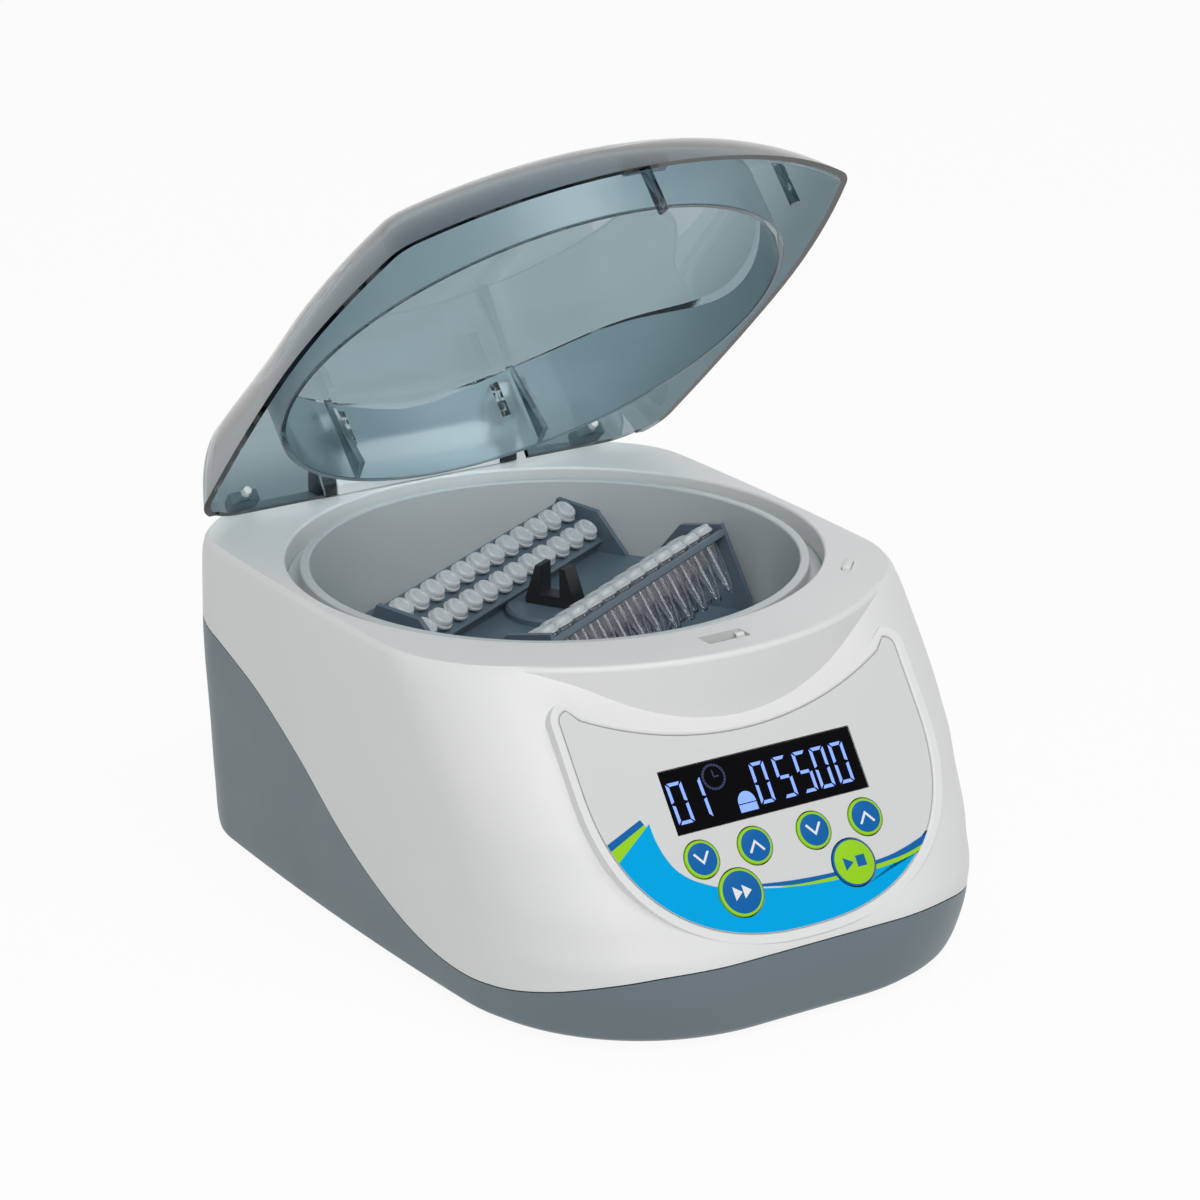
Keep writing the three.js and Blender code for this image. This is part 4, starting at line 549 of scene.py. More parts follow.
LID_FRONT_ARC, LID_ARC_Y, LID_HALF, LID_REAR = 120.0, 19.4, 85.5, 87.5
LID_SIDE_FRONT_ARC, LID_SIDE_REAR_ARC = 250, 900
LID_FRONT_R, LID_REAR_R, LID_HEIGHT, LID_CROWN, LID_WALL, LID_SHIFT = 15.0, 18.0, 27.8, 1.1, 2.2, 39.0
LID_RIM = TOP + .4
RING_R, RING_WALL, RING_CHAMFER = MOUTH_R - RUN, 1.8, .3
RING_LOW = LIP + GAP


def lid_side(y):
    return LID_HALF - y * y / (2 * (LID_SIDE_FRONT_ARC if y < 0 else LID_SIDE_REAR_ARC))


def lid_outline(inset):
    """Plan of the lid: a wide front arc, bowed sides and round corners."""
    front_arc, corner = LID_FRONT_ARC - inset, LID_FRONT_R - inset
    rear_corner, rear = LID_REAR_R - inset, LID_REAR - inset
    end_y = -LID_HALF / 2
    for _ in range(14):  # the front corner settles where it touches both the front arc and the side
        lean = atan(end_y / LID_SIDE_FRONT_ARC)
        cx = lid_side(end_y) - inset - corner * cos(lean)
        cy = LID_ARC_Y - sqrt((front_arc - corner) ** 2 - cx ** 2)
        end_y = cy + corner * sin(lean)
    turn = atan2(cy - LID_ARC_Y, cx)
    half = arc(0, LID_ARC_Y, front_arc, -pi / 2, turn, 24)
    half += arc(cx, cy, corner, turn, lean, 12)[1:]
    start, steps = rear - rear_corner, 18
    for i in range(1, steps):
        y = end_y + (start - end_y) * i / steps
        half.append((lid_side(y) - inset, y))
    half += arc(lid_side(start) - inset - rear_corner, start, rear_corner, 0, pi / 2, 14)
    half.append((0, rear))
    half[0] = (0.0, half[0][1])
    return mirrored(half)


DOME_RINGS, DOME_SPACING, DOME_CLOSING = 34, 1.75, .985
POWER_MIDDLE, POWER_FRONT, POWER_REAR = 7.15, 7.3, 13.95


def dome(name, inset):
    """Rings that shrink towards the top along a superellipse, whose power changes from front to rear."""
    outline = lid_outline(inset)
    rise = LID_HEIGHT - LID_CROWN - inset
    rings = []
    for i in range(DOME_RINGS + 1):
        s = 1 - (i / DOME_RINGS) ** DOME_SPACING * DOME_CLOSING
        ring = []
        for x, y in outline:
            along = y / LID_REAR
            end_power = POWER_REAR if along > 0 else POWER_FRONT
            power = POWER_MIDDLE + (end_power - POWER_MIDDLE) * along * along
            z = LID_RIM + rise * (1 - s ** power) + LID_CROWN * (1 - s * s)
            ring.append((x * s, y * s + LID_SHIFT * (1 - s), z))
        rings.append(ring)
    if inset:
        rings.insert(0, [(x, y, z - OVER) for x, y, z in rings[0]])
    return loft(name, rings, LID)


EAR_R, EAR_WIDTH, LUG_IN, LUG_OUT, LUG_ROOM = 5.4, 2.6, 29.4, 35.4, .8
PIN_BORE_R, PIN_PAST, FIN_X, FIN_REACH, FIN_HALF = 2.3, 3.5, 32.4, 7.5, 1
RIB_ANGLES, RIB_HALF, RIB_DEPTH, ROOT = (-2.06, -1.05), .8, 9, .9
PAD_X, PAD_Z, STEM_R = 62, TOP + 6.9, 1.7


def lid_ear(x0, x1):
    eye = cross_rod("ear", EAR_R, x0, x1, HINGE_Y, HINGE_Z, 40, LID)
    foot = HINGE_Y - EAR_R * 1.6
    web = side_prism("web", [(foot, HINGE_Z - EAR_R), (HINGE_Y, HINGE_Z - EAR_R),
        (HINGE_Y, HINGE_Z + EAR_R * .8), (foot, HINGE_Z + EAR_R * 1.2)], x0, x1, LID)
    return joined(eye, web)


def lid_shell():
    """Dome with its ring, two ribs, two fins and four hinge ears, cut free round the hinge."""
    high, wide, inner = TOP + LID_HEIGHT, LID_FRONT_ARC, RING_R - RING_WALL

    def inside_dome(piece):
        below = block("below", -wide, wide, -wide, wide, 0, LID_RIM + 1.1, LID)
        return crossed(piece, joined(dome("dome_space", 0), below))

    ring = [(inner, RING_LOW + RING_CHAMFER), (inner + RING_CHAMFER, RING_LOW),
        (RING_R - RING_CHAMFER, RING_LOW), (RING_R, RING_LOW + RING_CHAMFER), (RING_R, high),
        (inner, high)]
    pieces = [inside_dome(revolve("ring", ring, 240, LID))]
    for angle in RIB_ANGLES:
        rib = block("rib", RING_R - ROOT, LID_FRONT_ARC, -RIB_HALF, RIB_HALF, high - RIB_DEPTH, high,
            LID @ Matrix.Rotation(angle, 4, "Z"))
        pieces.append(crossed(rib, dome("rib_space", 0)))
    fin_y = sqrt(inner ** 2 - FIN_X ** 2) + ROOT
    fin = [(fin_y - FIN_REACH, RING_LOW + 2), (fin_y, RING_LOW), (fin_y, high),
        (fin_y - FIN_REACH / 4, high)]
    for side in (-1, 1):
        x = side * FIN_X
        pieces.append(inside_dome(side_prism("fin", fin, x - FIN_HALF, x + FIN_HALF, LID)))
        for near in (LUG_IN - RUN - EAR_WIDTH, LUG_OUT + RUN):
            pieces.append(lid_ear(*side_span(side, near, near + EAR_WIDTH)))
    shell = joined(cut(dome("lid_shell_fine", 0), dome("dome_inner", LID_WALL)), *pieces)
    past, front, clear = LID_REAR + 12, 79.9 - RUN, HINGE_Y - 4.5 - LUG_ROOM
    low, step, lug_top, slot_in = LID_RIM - OVER, TOP + 5 + 1.6, HINGE_Z + 8.5, LUG_IN - LUG_ROOM
    tools = [side_prism("notch", [(front, low), (past, low), (past, HINGE_Z), (HINGE_Y, HINGE_Z - .8),
        (front, step)], -slot_in, slot_in, LID), block("relief", -LID_HALF, LID_HALF, HINGE_Y, past,
        low, TOP + 1.4, LID)]
    lug_room = [(front, low), (past, low), (past, lug_top), (clear, lug_top), (clear, HINGE_Z),
        (front, step)]
    for side in (-1, 1):
        tools.append(side_prism("lug_notch", lug_room, *side_span(side, slot_in, LUG_OUT + LUG_ROOM), LID))
        tools.append(cross_rod("pin_bore", PIN_BORE_R, *side_span(side, LUG_IN - PIN_PAST,
            LUG_OUT + PIN_PAST), HINGE_Y, HINGE_Z, 32, LID))
        tools.append(deep_prism("stem_hole", circle(side * PAD_X, PAD_Z, STEM_R, 24), 79.5, 88.5, LID))
    return cut(shell, *tools)


# ---- rotor and strips

CAP_DROP, PITCH, TUBES = 3.4, 9.0, 12
STRIP_HALF, RACK_TOP = PITCH * (TUBES - 1) / 2, CAP_DROP + GAP
RACK_END, RACK_FLOOR = 2, 2.4
RACK_HALF = STRIP_HALF + 3.9 + GAP + RACK_END
ROTOR_DEPTH = 29
DISC_TOP, TRAY_TOP = LIP - ROTOR_DEPTH, LIP - 17.5
DISC_R, DISC_THICK, TRAY_HALF, COLLAR_R, COLLAR_UP, HUB_R, HUB_DOWN = 67.5, 3, 16.4, 15, 2.4, 13, 11
HOLE_R, BORE_R = 3.3, 2.8
ROWS = [(side, shift) for side in (-1, 1) for shift in (0.0, -PITCH)]
# Side of a rotor cheek, in shares of RACK_Y and of ROTOR_DEPTH
CHEEK = [(.19, .59), (.64, .155), (1.26, .075), (1.7, .87), (1.7, 1.05), (.19, 1.05)]


def soft_box(name, x0, x1, y0, y1, z0, z1, r, place):
    """A box whose long edges along X are rounded."""
    outline = []
    for k, (y, z) in enumerate(((y1 - r, z1 - r), (y0 + r, z1 - r), (y0 + r, z0 + r), (y1 - r, z0 + r))):
        outline += arc(y, z, r, pi * k / 2, pi * (k + 1) / 2, 3)
    return side_prism(name, outline, x0, x1, place)


def rotor_body():
    """Disc, tray, collar and hub with two tilted racks, bored for the tubes and the shaft."""
    disc = revolve("rotor_fine", [(0, DISC_TOP - DISC_THICK), (DISC_R - 1, DISC_TOP - DISC_THICK),
        (DISC_R, DISC_TOP - DISC_THICK + 1), (DISC_R, DISC_TOP - .8), (DISC_R - .8, DISC_TOP),
        (0, DISC_TOP)], 160, ROTOR)
    collar = TRAY_TOP + COLLAR_UP
    parts = [soft_box("tray", -RACK_HALF, RACK_HALF, -TRAY_HALF, TRAY_HALF, TRAY_TOP - 2.5, TRAY_TOP, .5,
        ROTOR), revolve("collar", [(0, TRAY_TOP - 2), (COLLAR_R, TRAY_TOP - 2), (COLLAR_R, collar - .8),
        (COLLAR_R - .8, collar), (0, collar)], 72, ROTOR), rod("hub", HUB_R, DISC_TOP - HUB_DOWN,
        TRAY_TOP - .2, segments=64, place=ROTOR)]
    for side in (-1, 1):
        parts.append(soft_box("rack", -RACK_HALF, RACK_HALF, -14.3, 5, -RACK_TOP - RACK_FLOOR, -RACK_TOP,
            .45, rack_frame(side)))
        cheek = [(side * RACK_Y * a, LIP - ROTOR_DEPTH * b) for a, b in CHEEK]
        for x0 in (-RACK_HALF, RACK_HALF - RACK_END):
            parts.append(side_prism("cheek", cheek, x0, x0 + RACK_END, ROTOR))
        parts.append(block("wall", -RACK_HALF, RACK_HALF, *side_span(side, TRAY_HALF - 2, TRAY_HALF),
            DISC_TOP - 1.5, TRAY_TOP + 2.5, ROTOR))
    tools = [merge("holes", [rod("hole", HOLE_R, -RACK_TOP - RACK_FLOOR - OVER, -RACK_TOP + OVER,
        i * PITCH - STRIP_HALF, shift, 20, rack_frame(side)) for i in range(TUBES)])
        for side, shift in ROWS]
    tools.append(rod("bore", BORE_R, DISC_TOP - HUB_DOWN - OVER, collar + OVER, segments=32, place=ROTOR))
    return cut(joined(disc, *parts), *tools)


def strip(name, side, shift, profile, segments, band):
    """One strip: the profile turned at each tube's place, and the band that joins them."""
    turned = [revolve("turned", profile, segments, rack_frame(side)
        @ Matrix.Translation((i * PITCH - STRIP_HALF, shift, 0))) for i in range(TUBES)]
    return merge(name, turned + [band])


def strip_tubes(name, side, shift):
    top = GAP - CAP_DROP
    outside = [(0, -19.5), (.75, -19.3), (1.15, -18.7), (2.1, -14), (2.85, -8.8), (3.0, -8), (3.0, 0)]
    inside = [(2.55, 0), (2.55, -8.1), (2.4, -9), (1.65, -14), (.75, -18.2), (0, -18.5)]
    web = block("web", -STRIP_HALF, STRIP_HALF, shift - .8, shift + .8, top - .6, top - .3,
        rack_frame(side))
    return strip(name, side, shift, [(r, top + z) for r, z in outside + inside], 24, web)


def strip_caps(name, side, shift):
    base = GAP * 2 - CAP_DROP
    skirt = [(0, 0), (3.75, 0), (3.9, .15), (3.9, .75), (3.7, .95), (3.55, 1.05)]
    crown = [(3.4, -.75), (3.15, -.3), (2.75, -.06), (2.3, 0), (1.95, -.12), (1.75, -.4), (0, -.45)]
    strap = soft_box("strap", -STRIP_HALF, STRIP_HALF, shift - 1.6, shift + 1.6, base, base + 1.13, .3,
        rack_frame(side))
    return strip(name, side, shift, [(r, base + z) for r, z in skirt] + crown, 28, strap)


def hub_clip():
    z0 = TRAY_TOP + COLLAR_UP + GAP
    z1 = z0 + 12
    right = [(8.3, z0), (8.3, z0 + 1.5), (4.9, z1), (3.2, z1), (3.2, z0 + 3)]
    left = [(-y, z) for y, z in reversed(right)]
    return side_prism("hub_clip_fine", left[-1:] + right + left[:-1], -3.25, 3.25, ROTOR)


# ---- materials

def feed(tree, node, inputs):
    """Sets a node's inputs: a link where the value is another node's output, else a plain value."""
    for key, value in inputs.items():
        if isinstance(value, bpy.types.NodeSocket):
            tree.links.new(value, node.inputs[key])
        else:
            node.inputs[key].default_value = value


def add_node(tree, kind, inputs, **settings):
    node = tree.nodes.new("ShaderNode" + kind)
    for key, setting in settings.items():
        setattr(node, key, setting)
    feed(tree, node, inputs)
    return node


def object_point(tree):
    return add_node(tree, "TexCoord", {}).outputs["Object"]


def mixed_colour(tree, share, low, high):
    return add_node(tree, "Mix", {"Factor": share, "A": low, "B": high}, data_type="RGBA").outputs["Result"]


def surface_mix(tree, output, share, first, second):
    """Sends a mix of two shaders to the tree's output."""
    mix = add_node(tree, "MixShader", {0: share, 1: first.outputs[0], 2: second.outputs[0]})
    feed(tree, tree.nodes[output], {"Surface": mix.outputs[0]})


def new_material(name):
    mat = bpy.data.materials.new(name)
    mat.use_nodes = True
    return mat, mat.node_tree, mat.node_tree.nodes["Principled BSDF"]


def material(name, colour, roughness, second=None, grain=(700.0, .00006, .25), mottle=60.0, spread=.08,
             **values):
    """A procedural plastic or metal: two near colours mixed by noise, a fine grain and uneven gloss."""
    mat, tree, shader = new_material(name)
    where = object_point(tree)
    clouds = add_node(tree, "TexNoise", {"Vector": where, "Scale": mottle, "Detail": 3}).outputs["Fac"]
    gloss = add_node(tree, "MapRange", {"Value": clouds, "To Min": max(0.0, roughness - spread),
        "To Max": min(1.0, roughness + spread)})
    feed(tree, shader, {"Roughness": gloss.outputs["Result"], "Base Color": mixed_colour(tree, clouds,
        (*colour, 1), (*(second or [c * .94 for c in colour]), 1))})
    if grain:
        scale, depth, strength = grain
        fine = add_node(tree, "TexNoise", {"Vector": where, "Scale": scale, "Detail": 2})
        bump = add_node(tree, "Bump", {"Height": fine.outputs["Fac"], "Distance": depth,
            "Strength": strength})
        feed(tree, shader, {"Normal": bump.outputs["Normal"]})
    feed(tree, shader, {key.replace("_", " "): value for key, value in values.items()})
    return mat


def lamps_pass(mat, tint):
    """Lets lamps shine through a clear plastic, tinted at each face."""
    tree = mat.node_tree
    surface_mix(tree, "Material Output", add_node(tree, "LightPath", {}).outputs["Is Shadow Ray"],
                tree.nodes["Principled BSDF"], add_node(tree, "BsdfTransparent", {"Color": (*tint, 1)}))


def tone_along(mat, value, low, high, below=None, above=None, curve="LINEAR"):
    """Changes from one colour to another as a value rises; None is the material's own colour."""
    tree = mat.node_tree
    shader = tree.nodes["Principled BSDF"]
    own = shader.inputs["Base Color"].links[0].from_socket
    share = add_node(tree, "MapRange", {"Value": value, "From Min": low, "From Max": high},
        interpolation_type=curve).outputs["Result"]
    feed(tree, shader, {"Base Color": mixed_colour(tree, share, below or own, above or own)})
    return share


def painted_rim_shade(mat, colour, low, high):
    """Painted shade: the lid's colour darkens towards its rim, standing in for the dark look of its walls
    seen at a slant; heights are above the rim in millimetres.
    """
    tree = mat.node_tree
    normal = LID.to_3x3() @ Vector((0, 0, 1))
    rim = LID @ Vector((0, 0, LID_RIM))
    level = Vector((0, rim.y * MM + AXIS_Y, rim.z * MM)).dot(normal)
    height = add_node(tree, "VectorMath", {0: object_point(tree), 1: normal}, operation="DOT_PRODUCT")
    tone_along(mat, height.outputs["Value"], level + low * MM, level + high * MM, below=(*colour, 1),
               curve="SMOOTHSTEP")


def two_tone_smoke(name, z_black, z_smoke):
    """Black plastic at the foot that turns into smoked plastic above."""
    mat = material(name, (.012, .013, .015), .2, (.016, .017, .02), IOR=1.47)
    tree = mat.node_tree
    apart = add_node(tree, "SeparateXYZ", {0: object_point(tree)})
    share = tone_along(mat, apart.outputs["Z"], z_black * MM, z_smoke * MM, above=(.3, .385, .42, 1))
    feed(tree, tree.nodes["Principled BSDF"], {"Transmission Weight": share})
    return mat


def srgb(r, g, b):
    return [((c / 255 + .055) / 1.055) ** 2.4 if c > 10 else c / 255 / 12.92 for c in (r, g, b)]


LID_GRAIN, PRINT_GRAIN = (22.0, .00002, .03), (1500.0, .00002, .2)
LID_TINT, TUBE_TINT = (.92, .945, .95), (.95, .96, .97)

white = material("cover_white", (.77, .77, .76), .42, (.745, .75, .745), grain=(900.0, .0001, .35),
    mottle=35)
grey = material("base_slate", (.137, .178, .199), .45, (.13, .17, .19), mottle=40)
bowl_grey = material("bowl_light_grey", (.55, .58, .585), .4, (.53, .56, .57), mottle=40)
black = material("fine_black", (.010, .011, .013), .38, (.014, .015, .017))
slate = material("rotor_slate", (.09, .13, .165), .4, (.082, .122, .156))
smoke = material("lid_smoke", (.32, .41, .445), .03, (.305, .395, .43), grain=LID_GRAIN, mottle=18,
    spread=.015, Transmission_Weight=1.0, IOR=1.46, Specular_IOR_Level=.4)
ring_clear = material("lid_ring_inside", (.39, .50, .545), .07, (.37, .48, .52), grain=LID_GRAIN, mottle=18,
    spread=.02, Transmission_Weight=.94, IOR=1.5, Specular_IOR_Level=.8)
# Rough outer face of the lid's ring; its lighter colour is a painted sheen for reflected light
frost_and_painted_sheen = material("lid_ring_outside", (.53, .65, .70), .34, (.50, .62, .67), grain=(2600.0, .00001, .1),
    mottle=18, spread=.04, Transmission_Weight=.74, IOR=1.5, Specular_IOR_Level=1.0)
tube = material("tube_clear", (.96, .96, .99), .04, (.94, .94, .97), grain=(400.0, .00003, .2), spread=.02,
                Transmission_Weight=1.0, IOR=1.5)
cap_white = material("cap_frosted", (.70, .73, .75), .3, (.64, .68, .70), grain=(900.0, .00005, .35),
    Transmission_Weight=.3)
for clear, tint in ((smoke, LID_TINT), (frost_and_painted_sheen, LID_TINT), (ring_clear, LID_TINT), (tube, TUBE_TINT)):
    lamps_pass(clear, tint)
# Painted shade: the smoked lid turns darker near its rim
painted_rim_shade(smoke, (.165, .225, .255), 3.0, 25.0)
print_pale = material("panel_pale", (.66, .665, .66), .32, (.65, .655, .65), grain=PRINT_GRAIN)
print_cyan = material("panel_cyan", srgb(0, 168, 230), .4, srgb(0, 164, 226), grain=PRINT_GRAIN,
    Specular_IOR_Level=.05)
print_blue = material("panel_blue", srgb(14, 100, 170), .35, srgb(14, 96, 166), grain=PRINT_GRAIN,
    Specular_IOR_Level=.12)
print_lime = material("panel_lime", srgb(156, 212, 36), .35, srgb(150, 208, 34), grain=PRINT_GRAIN,
    Specular_IOR_Level=.12)
print_white = material("panel_white", (.8, .82, .84), .3, (.78, .8, .82), grain=PRINT_GRAIN)
glass = material("window_black", (.002, .002, .003), .2, (.003, .003, .004), grain=None,
    Specular_IOR_Level=.03)
digit = material("digit_blue", srgb(130, 160, 240), .4, srgb(122, 152, 236), grain=None,
    Emission_Color=(*srgb(128, 160, 245), 1), Emission_Strength=.5, Specular_IOR_Level=.1)
digit_dim = material("digit_dim", srgb(62, 68, 100), .4, srgb(56, 62, 94), grain=None,
    Specular_IOR_Level=.1)
white_part = material("white_part", (.8, .8, .78), .4)
steel = material("bright_steel", (.5, .5, .51), .3, (.46, .46, .47), mottle=200, Metallic=1.0)
aluminium = material("cast_aluminium", (.52, .53, .54), .45, (.48, .49, .5), grain=(500.0, .0001, .4),
    Metallic=1.0)
rubber = material("rubber", (.02, .02, .022), .8, (.028, .028, .03), grain=(800.0, .0001, .5))
board = material("circuit_green", (.01, .1, .045), .35, (.012, .12, .05), mottle=300)
two_tone = two_tone_smoke("hinge_smoke", TOP + 4, TOP + 7)

BY_SLOT = {"housing_white": white, "base_grey": grey, "bowl_grey": bowl_grey, "lid_smoke": smoke,
    "rotor_slate": slate, "tube_clear": tube, "black_plastic": black, "panel_print": print_pale,
    "display_black": glass, "key_blue": print_blue, "key_lime": print_lime, "white_plastic": white_part,
    "steel": steel, "cast_aluminium": aluminium, "rubber_black": rubber, "circuit_board": board}
BY_NODE = {"lid_hook": smoke, "hinge_lug_left": two_tone, "hinge_lug_right": two_tone,
           "hinge_pin_left": smoke, "hinge_pin_right": smoke}
EDGE_ROUND = .35
for part in frame["record"]["subparts"]:
    node = nodes[part["node"]]
    node.data.materials.clear()
    node.data.materials.append(BY_NODE.get(part["node"]) or BY_SLOT[part["material_slot"]])
    node.modifiers.new("weld", "WELD").merge_threshold = 1e-6
    bevel = node.modifiers.new("edges", "BEVEL")
    bevel.width, bevel.segments = EDGE_ROUND * MM, 2
    bevel.limit_method, bevel.angle_limit = "ANGLE", radians(40)
    node.data.shade_smooth()
    node.data.set_sharp_from_angle(angle=radians(35))

# ---- building the pieces

finish_piece(upper_housing(), white, "housing", "housing_white", ["upper_housing"], 32)
finish_piece(lower_housing(), grey, "housing", "base_grey", ["lower_housing"], 32)
finish_piece(bowl(), bowl_grey, "housing", "bowl_grey", ["bowl"])
lid = finish_piece(lid_shell(), smoke, "lid", "lid_smoke", ["lid_shell"])
finish_piece(rotor_body(), slate, "rotor", "rotor_slate", ["rotor_body"])
finish_piece(hub_clip(), black, "rotor", "black_plastic", ["hub_clip"])
for row, (side, shift) in enumerate(ROWS, 1):
    for label, form, mat in (("tubes", strip_tubes, tube), ("caps", strip_caps, cap_white)):
        finish_piece(form(f"{label}_row_{row}", side, shift), mat, "rotor", "tube_clear",
            [f"strip_{label}_{row}"], 40, False)

# The lid's ring has a rough, frost-like face outside and a clearer one inside; the outer face's lighter
# colour is a painted sheen for the light that the band reflects
lid.data.materials.append(frost_and_painted_sheen)
lid.data.materials.append(ring_clear)
to_lid = LID.inverted()
for face in lid.data.polygons:
    reaches = []
    for k in face.vertices:
        p = lid.data.vertices[k].co
        q = to_lid @ Vector((p.x / MM, (p.y - AXIS_Y) / MM, p.z / MM))
        reaches.append(hypot(q.x, q.y))
    for index, radius in ((1, RING_R), (2, RING_R - RING_WALL)):
        if all(abs(r - radius) < .03 for r in reaches):
            face.material_index = index


def lock_clip():
    """Bent clip at the right end of the lock slot, a little proud of the cover."""
    outer, inner, leg, z = 1.1, .55, 2.2, TOP - .9
    foot = [(LOCK_Y + y, z - leg) for y in (-outer, outer, inner, -inner)]
    outline = (foot[:1] + arc(LOCK_Y, z, outer, pi, 0, 10) + foot[1:3]
               + arc(LOCK_Y, z, inner, 0, pi, 10) + foot[3:])
    return side_prism("lock_clip", outline, 3.6, 6.2)


finish_piece(lock_clip(), white_part, "housing", "white_plastic")

# ---- panel print, keys and display

PRINT_SUNK, PRINT_INSET = .03, -.12


def printed(obj, mat, body="housing", slot="panel_print", stands_for=()):
    return finish_piece(obj, mat, body, slot, stands_for, weighted=False)


def edge_angle(u, v):
    """Angle of the lower edge's point that is nearest to (u, v)."""
    tries = np.linspace(-pi / 2, pi / 2, 2001)
    return float(min(tries, key=lambda t: dist(edge_point(t), (u, v))))


def curve_through(points):
    p, steps = np.array(points, float), 14
    return [tuple(catmull_rom(p, i, k / steps)) for i in range(len(p) - 1)
        for k in range(steps)] + [tuple(p[-1])]


def print_sheet(name, outline, mat, high=.05, keys=False):
    """A printed area of the panel, proud of it by high; keys says that it goes round the keys."""
    sheet = prism(name, anticlockwise(outline), -PRINT_SUNK, high, PANEL)
    return printed(cut(sheet, *key_holes(-OVER, 64)) if keys else sheet, mat)


overlay = prism("panel_sheet", panel_outline(0), GAP / 2 - .6, 0, PANEL)
overlay = cut(cut(overlay, *key_holes(-OVER, 64)), window_box("window_hole", GAP, -OVER, OVER))
printed(overlay, print_pale, stands_for=["panel_overlay"])

# Coloured field at the foot of the panel with two stripes over it
field_left = edge_angle(-49.8, -11.4)
blue_left, blue_left_top = edge_angle(-51.9, -8.35), edge_angle(-53.2, -6.6)
field_right, blue_right, run_steps = edge_angle(44.6, -29.2), edge_angle(46.8, -26.6), 120
field_top = curve_through([(-39.6, -4.0), (-39.4, -8.6), (-38.2, -13.8), (-36.2, -18.0), (-32.9, -21.4),
    (-28.9, -23.8), (-24.1, -25.9), (-11.0, -29.2), (0.0, -31.1), (12.0, -32.0), (27.3, -31.9),
    (36.0, -30.9), (43.9, -29.5)])
field_low = [edge_point(field_right + (field_left - field_right) * k / run_steps, PRINT_INSET)
             for k in range(run_steps + 1)]
print_sheet("field_cyan", field_top + field_low, print_cyan, keys=True)
print_sheet("stripe_left_blue", [edge_point(blue_left_top, PRINT_INSET), (-41.9, -2.3), (-41.2, -3.9),
    edge_point(blue_left, PRINT_INSET)], print_blue)
print_sheet("stripe_left_lime", [edge_point(blue_left, PRINT_INSET), (-41.2, -3.9), (-40.5, -5.2),
    edge_point(field_left, PRINT_INSET)], print_lime, high=.045)
blue_top = curve_through([(-24.1, -25.6), (-10.7, -27.9), (0.5, -29.2), (14.0, -29.9), (28.2, -29.5),
    (37.0, -28.1), (46.6, -25.4)])
blue_low = curve_through([(46.3, -27.6), (37.0, -29.9), (27.8, -30.7), (14.0, -31.0), (-0.1, -30.5),
    (-11.0, -28.7), (-24.1, -25.8)])
print_sheet("stripe_blue", blue_top + [edge_point(blue_right, PRINT_INSET)] + blue_low, print_blue, .07,
    True)
lime_top = curve_through([(-6.0, -29.6), (-0.1, -30.4), (14.0, -30.9), (27.8, -30.6), (37.0, -29.8),
    (46.0, -27.6)])
lime_low = curve_through([(45.2, -28.9), (37.0, -31.0), (27.3, -32.0), (12.0, -32.1), (0.0, -31.1),
    (-6.0, -30.0)])
print_sheet("stripe_lime", lime_top + lime_low, print_lime, .06, True)


def key_top(name, u, v, r):
    """A key on its own body: the cap, whose edge is its ring, the face disc on it and the raised signs."""
    run = name == "key_run"
    blue, lime = (print_blue, "key_blue"), (print_lime, "key_lime")
    (ring_mat, ring_slot), (face_mat, face_slot) = (blue, lime) if run else (lime, blue)
    top, inner, deep = .5, r - (.55 if run else .85), -2.4 - GAP
    place = PANEL @ Matrix.Translation((u, v, 0))
    cap = [(0, deep), (r - .05, deep), (r - .05, -.2)] + arc(r - .55, top - .55, .5, 0, pi / 2, 5)
    printed(revolve(name + "_cap", cap + [(0, top - .05)], 72, place), ring_mat, name, ring_slot, [name])
    face = [(0, top - .3), (inner, top - .3), (inner, top - .02), (inner - .1, top + .02), (0, top + .04)]
    printed(revolve(name + "_face", face, 72, place), face_mat, name, face_slot)
    if run:
        signs = [[(-3.4, -1.9), (-3.4, 1.9), (-.3, 0)], rectangle(.7, 3.7, -1.6, 1.6)]
    elif name == "key_pulse":
        signs = [[(x, -2.0), (x, 2.0), (x + 2.7, 0)] for x in (-2.6, .4)]
    else:
        a, h, t, s = 2.6, 3.3, .62, -1 if name.endswith("down") else 1
        signs = [[(-a, -s * h / 2), (0, s * h / 2), (a, -s * h / 2), (a - t, -s * (h / 2 + t * .55)),
            (0, s * (h / 2 - t * 1.7)), (-a + t, -s * (h / 2 + t * .55))]]
    for k, sign in enumerate(signs, 1):
        mark = prism(f"{name}_mark_{k}", anticlockwise(sign), top - .05, top + .08, place)
        printed(mark, print_blue if run else print_white, name)


for key in KEYS:
    key_top(*key)

window = [[(x * (WINDOW_U - e), y * (WINDOW_V - e), w) for x, y in rectangle(-1, 1, -1, 1)]
          for e, w in ((0, -1.2), (0, -.12), (.12, 0))]
printed(loft("display_glass", window, PANEL), glass, slot="display_black", stands_for=["display_window"])

SEGMENTS = {"0": "abcdef", "1": "bc", "5": "acdfg"}
DIGIT_V, DIGIT_H, STROKE = -6.5, 12.0, .95
CLOCK_U, CLOCK_V, CLOCK_DASHES = -15.3, 4.3, 24


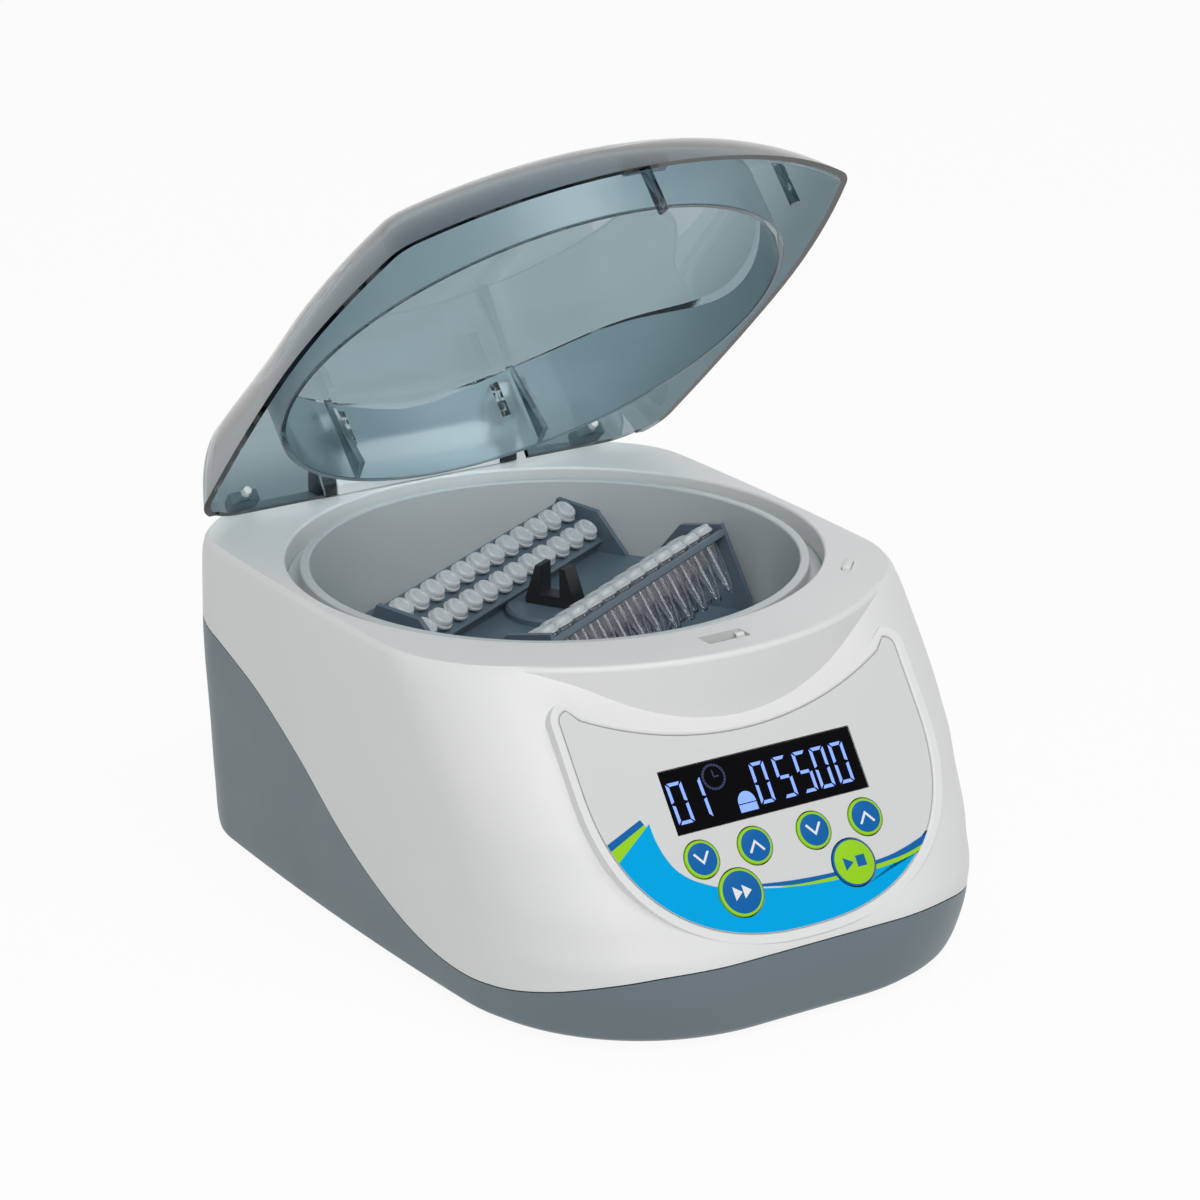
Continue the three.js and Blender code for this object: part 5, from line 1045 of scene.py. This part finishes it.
def digit_shapes(char, u0, w, lean):
    """Seven-segment strokes of one digit, w wide, whose left edge is at u0."""
    h, t, gap, m = DIGIT_H, STROKE, .22, DIGIT_H / 2
    bar = [(t * .6, h), (w - t * .6, h), (w - t * 1.3, h - t), (t * 1.3, h - t)]
    upper = [(w, h - gap), (w, m + gap), (w - t, m + gap + t * .4), (w - t, h - t - gap)]
    lower = [(w, m - gap), (w, gap), (w - t, t + gap), (w - t, m - gap - t * .4)]
    strokes = {"a": bar, "b": upper, "c": lower, "d": [(x, h - y) for x, y in bar],
               "e": [(w - x, y) for x, y in lower], "f": [(w - x, y) for x, y in upper],
               "g": rectangle(t, w - t, m + t / 2, m - t / 2)}
    return [[(u0 + x + lean * y, DIGIT_V + y) for x, y in strokes[k]] for k in SEGMENTS[char]]


def lit(name, shapes, mat):
    """Flat strokes on the display's glass, as one piece."""
    strokes = [prism("stroke", anticlockwise(shape), -.02, .03, PANEL) for shape in shapes]
    return printed(merge(name, strokes), mat, slot="display_black")


digits = []
for chars, places, width, lean in (
        ("01", (-30.6, -24.6), 5.2, -.03), ("05500", (-3.4, 4.2, 11.0, 16.9, 23.4), 4.8, .0)):
    for char, u in zip(chars, places):
        digits += digit_shapes(char, u, width, lean)
lit("display_digits", digits, digit)
lid_dome = [(-7.6 + 2.9 * cos(t), -4.9 + 3.3 * sin(t)) for t in np.linspace(0, pi, 21)]
lit("display_lid_icon", [rectangle(-10.5, -4.7, -7.4, -5.2), lid_dome], digit)
clock = []
for k in range(CLOCK_DASHES):
    t0, t1 = 2 * pi * k / CLOCK_DASHES, 2 * pi * (k + .8) / CLOCK_DASHES
    clock.append([(CLOCK_U + a * cos(t), CLOCK_V + a * sin(t)) for a, t in ((3.8, t0), (3.8, t1), (3.1, t1),
        (3.1, t0))])
clock += [rectangle(-15.5, -15.1, 4.1, 6.3), rectangle(-15.5, -13.6, 4.1, 4.5)]
lit("display_clock_icon", clock, digit_dim)

# ---- stage, lights and camera

FLOOR_GLOW, AMBIENT, WHITE = .93, .43, (1, 1, 1, 1)


def any_ray(tree):
    """1 for rays from the camera and for those that metal and glass send on."""
    path = add_node(tree, "LightPath", {})
    total = path.outputs["Is Camera Ray"]
    for kind in ("Is Glossy Ray", "Is Transmission Ray"):
        total = add_node(tree, "Math", {0: total, 1: path.outputs[kind]}, operation="MAXIMUM").outputs[0]
    return total


def floor_material():
    """Pale floor that is nearly white to the camera, with a share of its own shade left for shadows."""
    mat, tree, shader = new_material("floor_white")
    feed(tree, shader, {"Base Color": (.86, .86, .86, 1), "Roughness": .9, "Specular IOR Level": .1})
    glow = add_node(tree, "Emission", {"Color": WHITE, "Strength": 1.0})
    share = add_node(tree, "Math", {0: any_ray(tree), 1: FLOOR_GLOW}, operation="MULTIPLY")
    surface_mix(tree, "Material Output", share.outputs[0], shader, glow)
    return mat


floor_mesh = bpy.data.meshes.new("floor")
bm = bmesh.new()
bmesh.ops.create_grid(bm, x_segments=4, y_segments=4, size=30)
bm.to_mesh(floor_mesh)
bm.free()
floor = add_object("floor", floor_mesh)
floor.location.z = -.0002
floor.data.materials.append(floor_material())

world = bpy.data.worlds.new("studio")
bpy.context.scene.world = world
world.use_nodes = True
sky = world.node_tree
feed(sky, sky.nodes["Background"], {"Color": (.97, .985, 1.0, 1), "Strength": AMBIENT})
backdrop = add_node(sky, "Background", {"Color": WHITE, "Strength": 1.0})
surface_mix(sky, "World Output", any_ray(sky), sky.nodes["Background"], backdrop)


def direction(azimuth, elevation):
    """Unit vector from the object to a camera or lamp; azimuth 0 is the front."""
    a, e = radians(azimuth), radians(elevation)
    return Vector((sin(a) * cos(e), -cos(a) * cos(e), sin(e)))


def area_light(name, azimuth, elevation, distance, size, power):
    light = bpy.data.lights.new(name, "AREA")
    light.shape = "ELLIPSE"
    light.size, light.size_y = size
    light.energy = power
    obj = add_object(name, light)
    back = direction(azimuth, elevation)
    obj.location = back * distance + Vector((0, 0, .08))
    obj.rotation_mode = "QUATERNION"
    obj.rotation_quaternion = (-back).to_track_quat("-Z", "Y")


area_light("key", -32, 33, 1.8, (1.0, 1.0), 8.2)
area_light("strip", 6, 61, 1.8, (1.6, .16), 10)

# The photograph's view: the camera's direction, roll and place from the middle of the bowl's lip
AZIMUTH, ELEVATION, ROLL = -32.1, 19.62, radians(-.52)
TO_RIGHT, TO_TOP, TO_CAMERA = 13.4, -13.2, 1184
back = direction(AZIMUTH, ELEVATION)
level = Vector((cos(radians(AZIMUTH)), sin(radians(AZIMUTH)), 0))
rise = back.cross(level)
right = cos(ROLL) * level + sin(ROLL) * rise
up = -sin(ROLL) * level + cos(ROLL) * rise
centre = Vector((0, AXIS_Y, LIP * MM)) + (TO_RIGHT * right + TO_TOP * up + TO_CAMERA * back) * MM
camera = bpy.data.cameras.new("camera")
camera.lens, camera.sensor_width = 120, 36
camera.clip_start, camera.clip_end = .05, 200
eye = add_object("camera", camera)
eye.matrix_world = Matrix.Translation(centre) @ Matrix((right, up, back)).transposed().to_4x4()
bpy.context.scene.camera = eye
bpy.context.scene.view_settings.view_transform = "Standard"
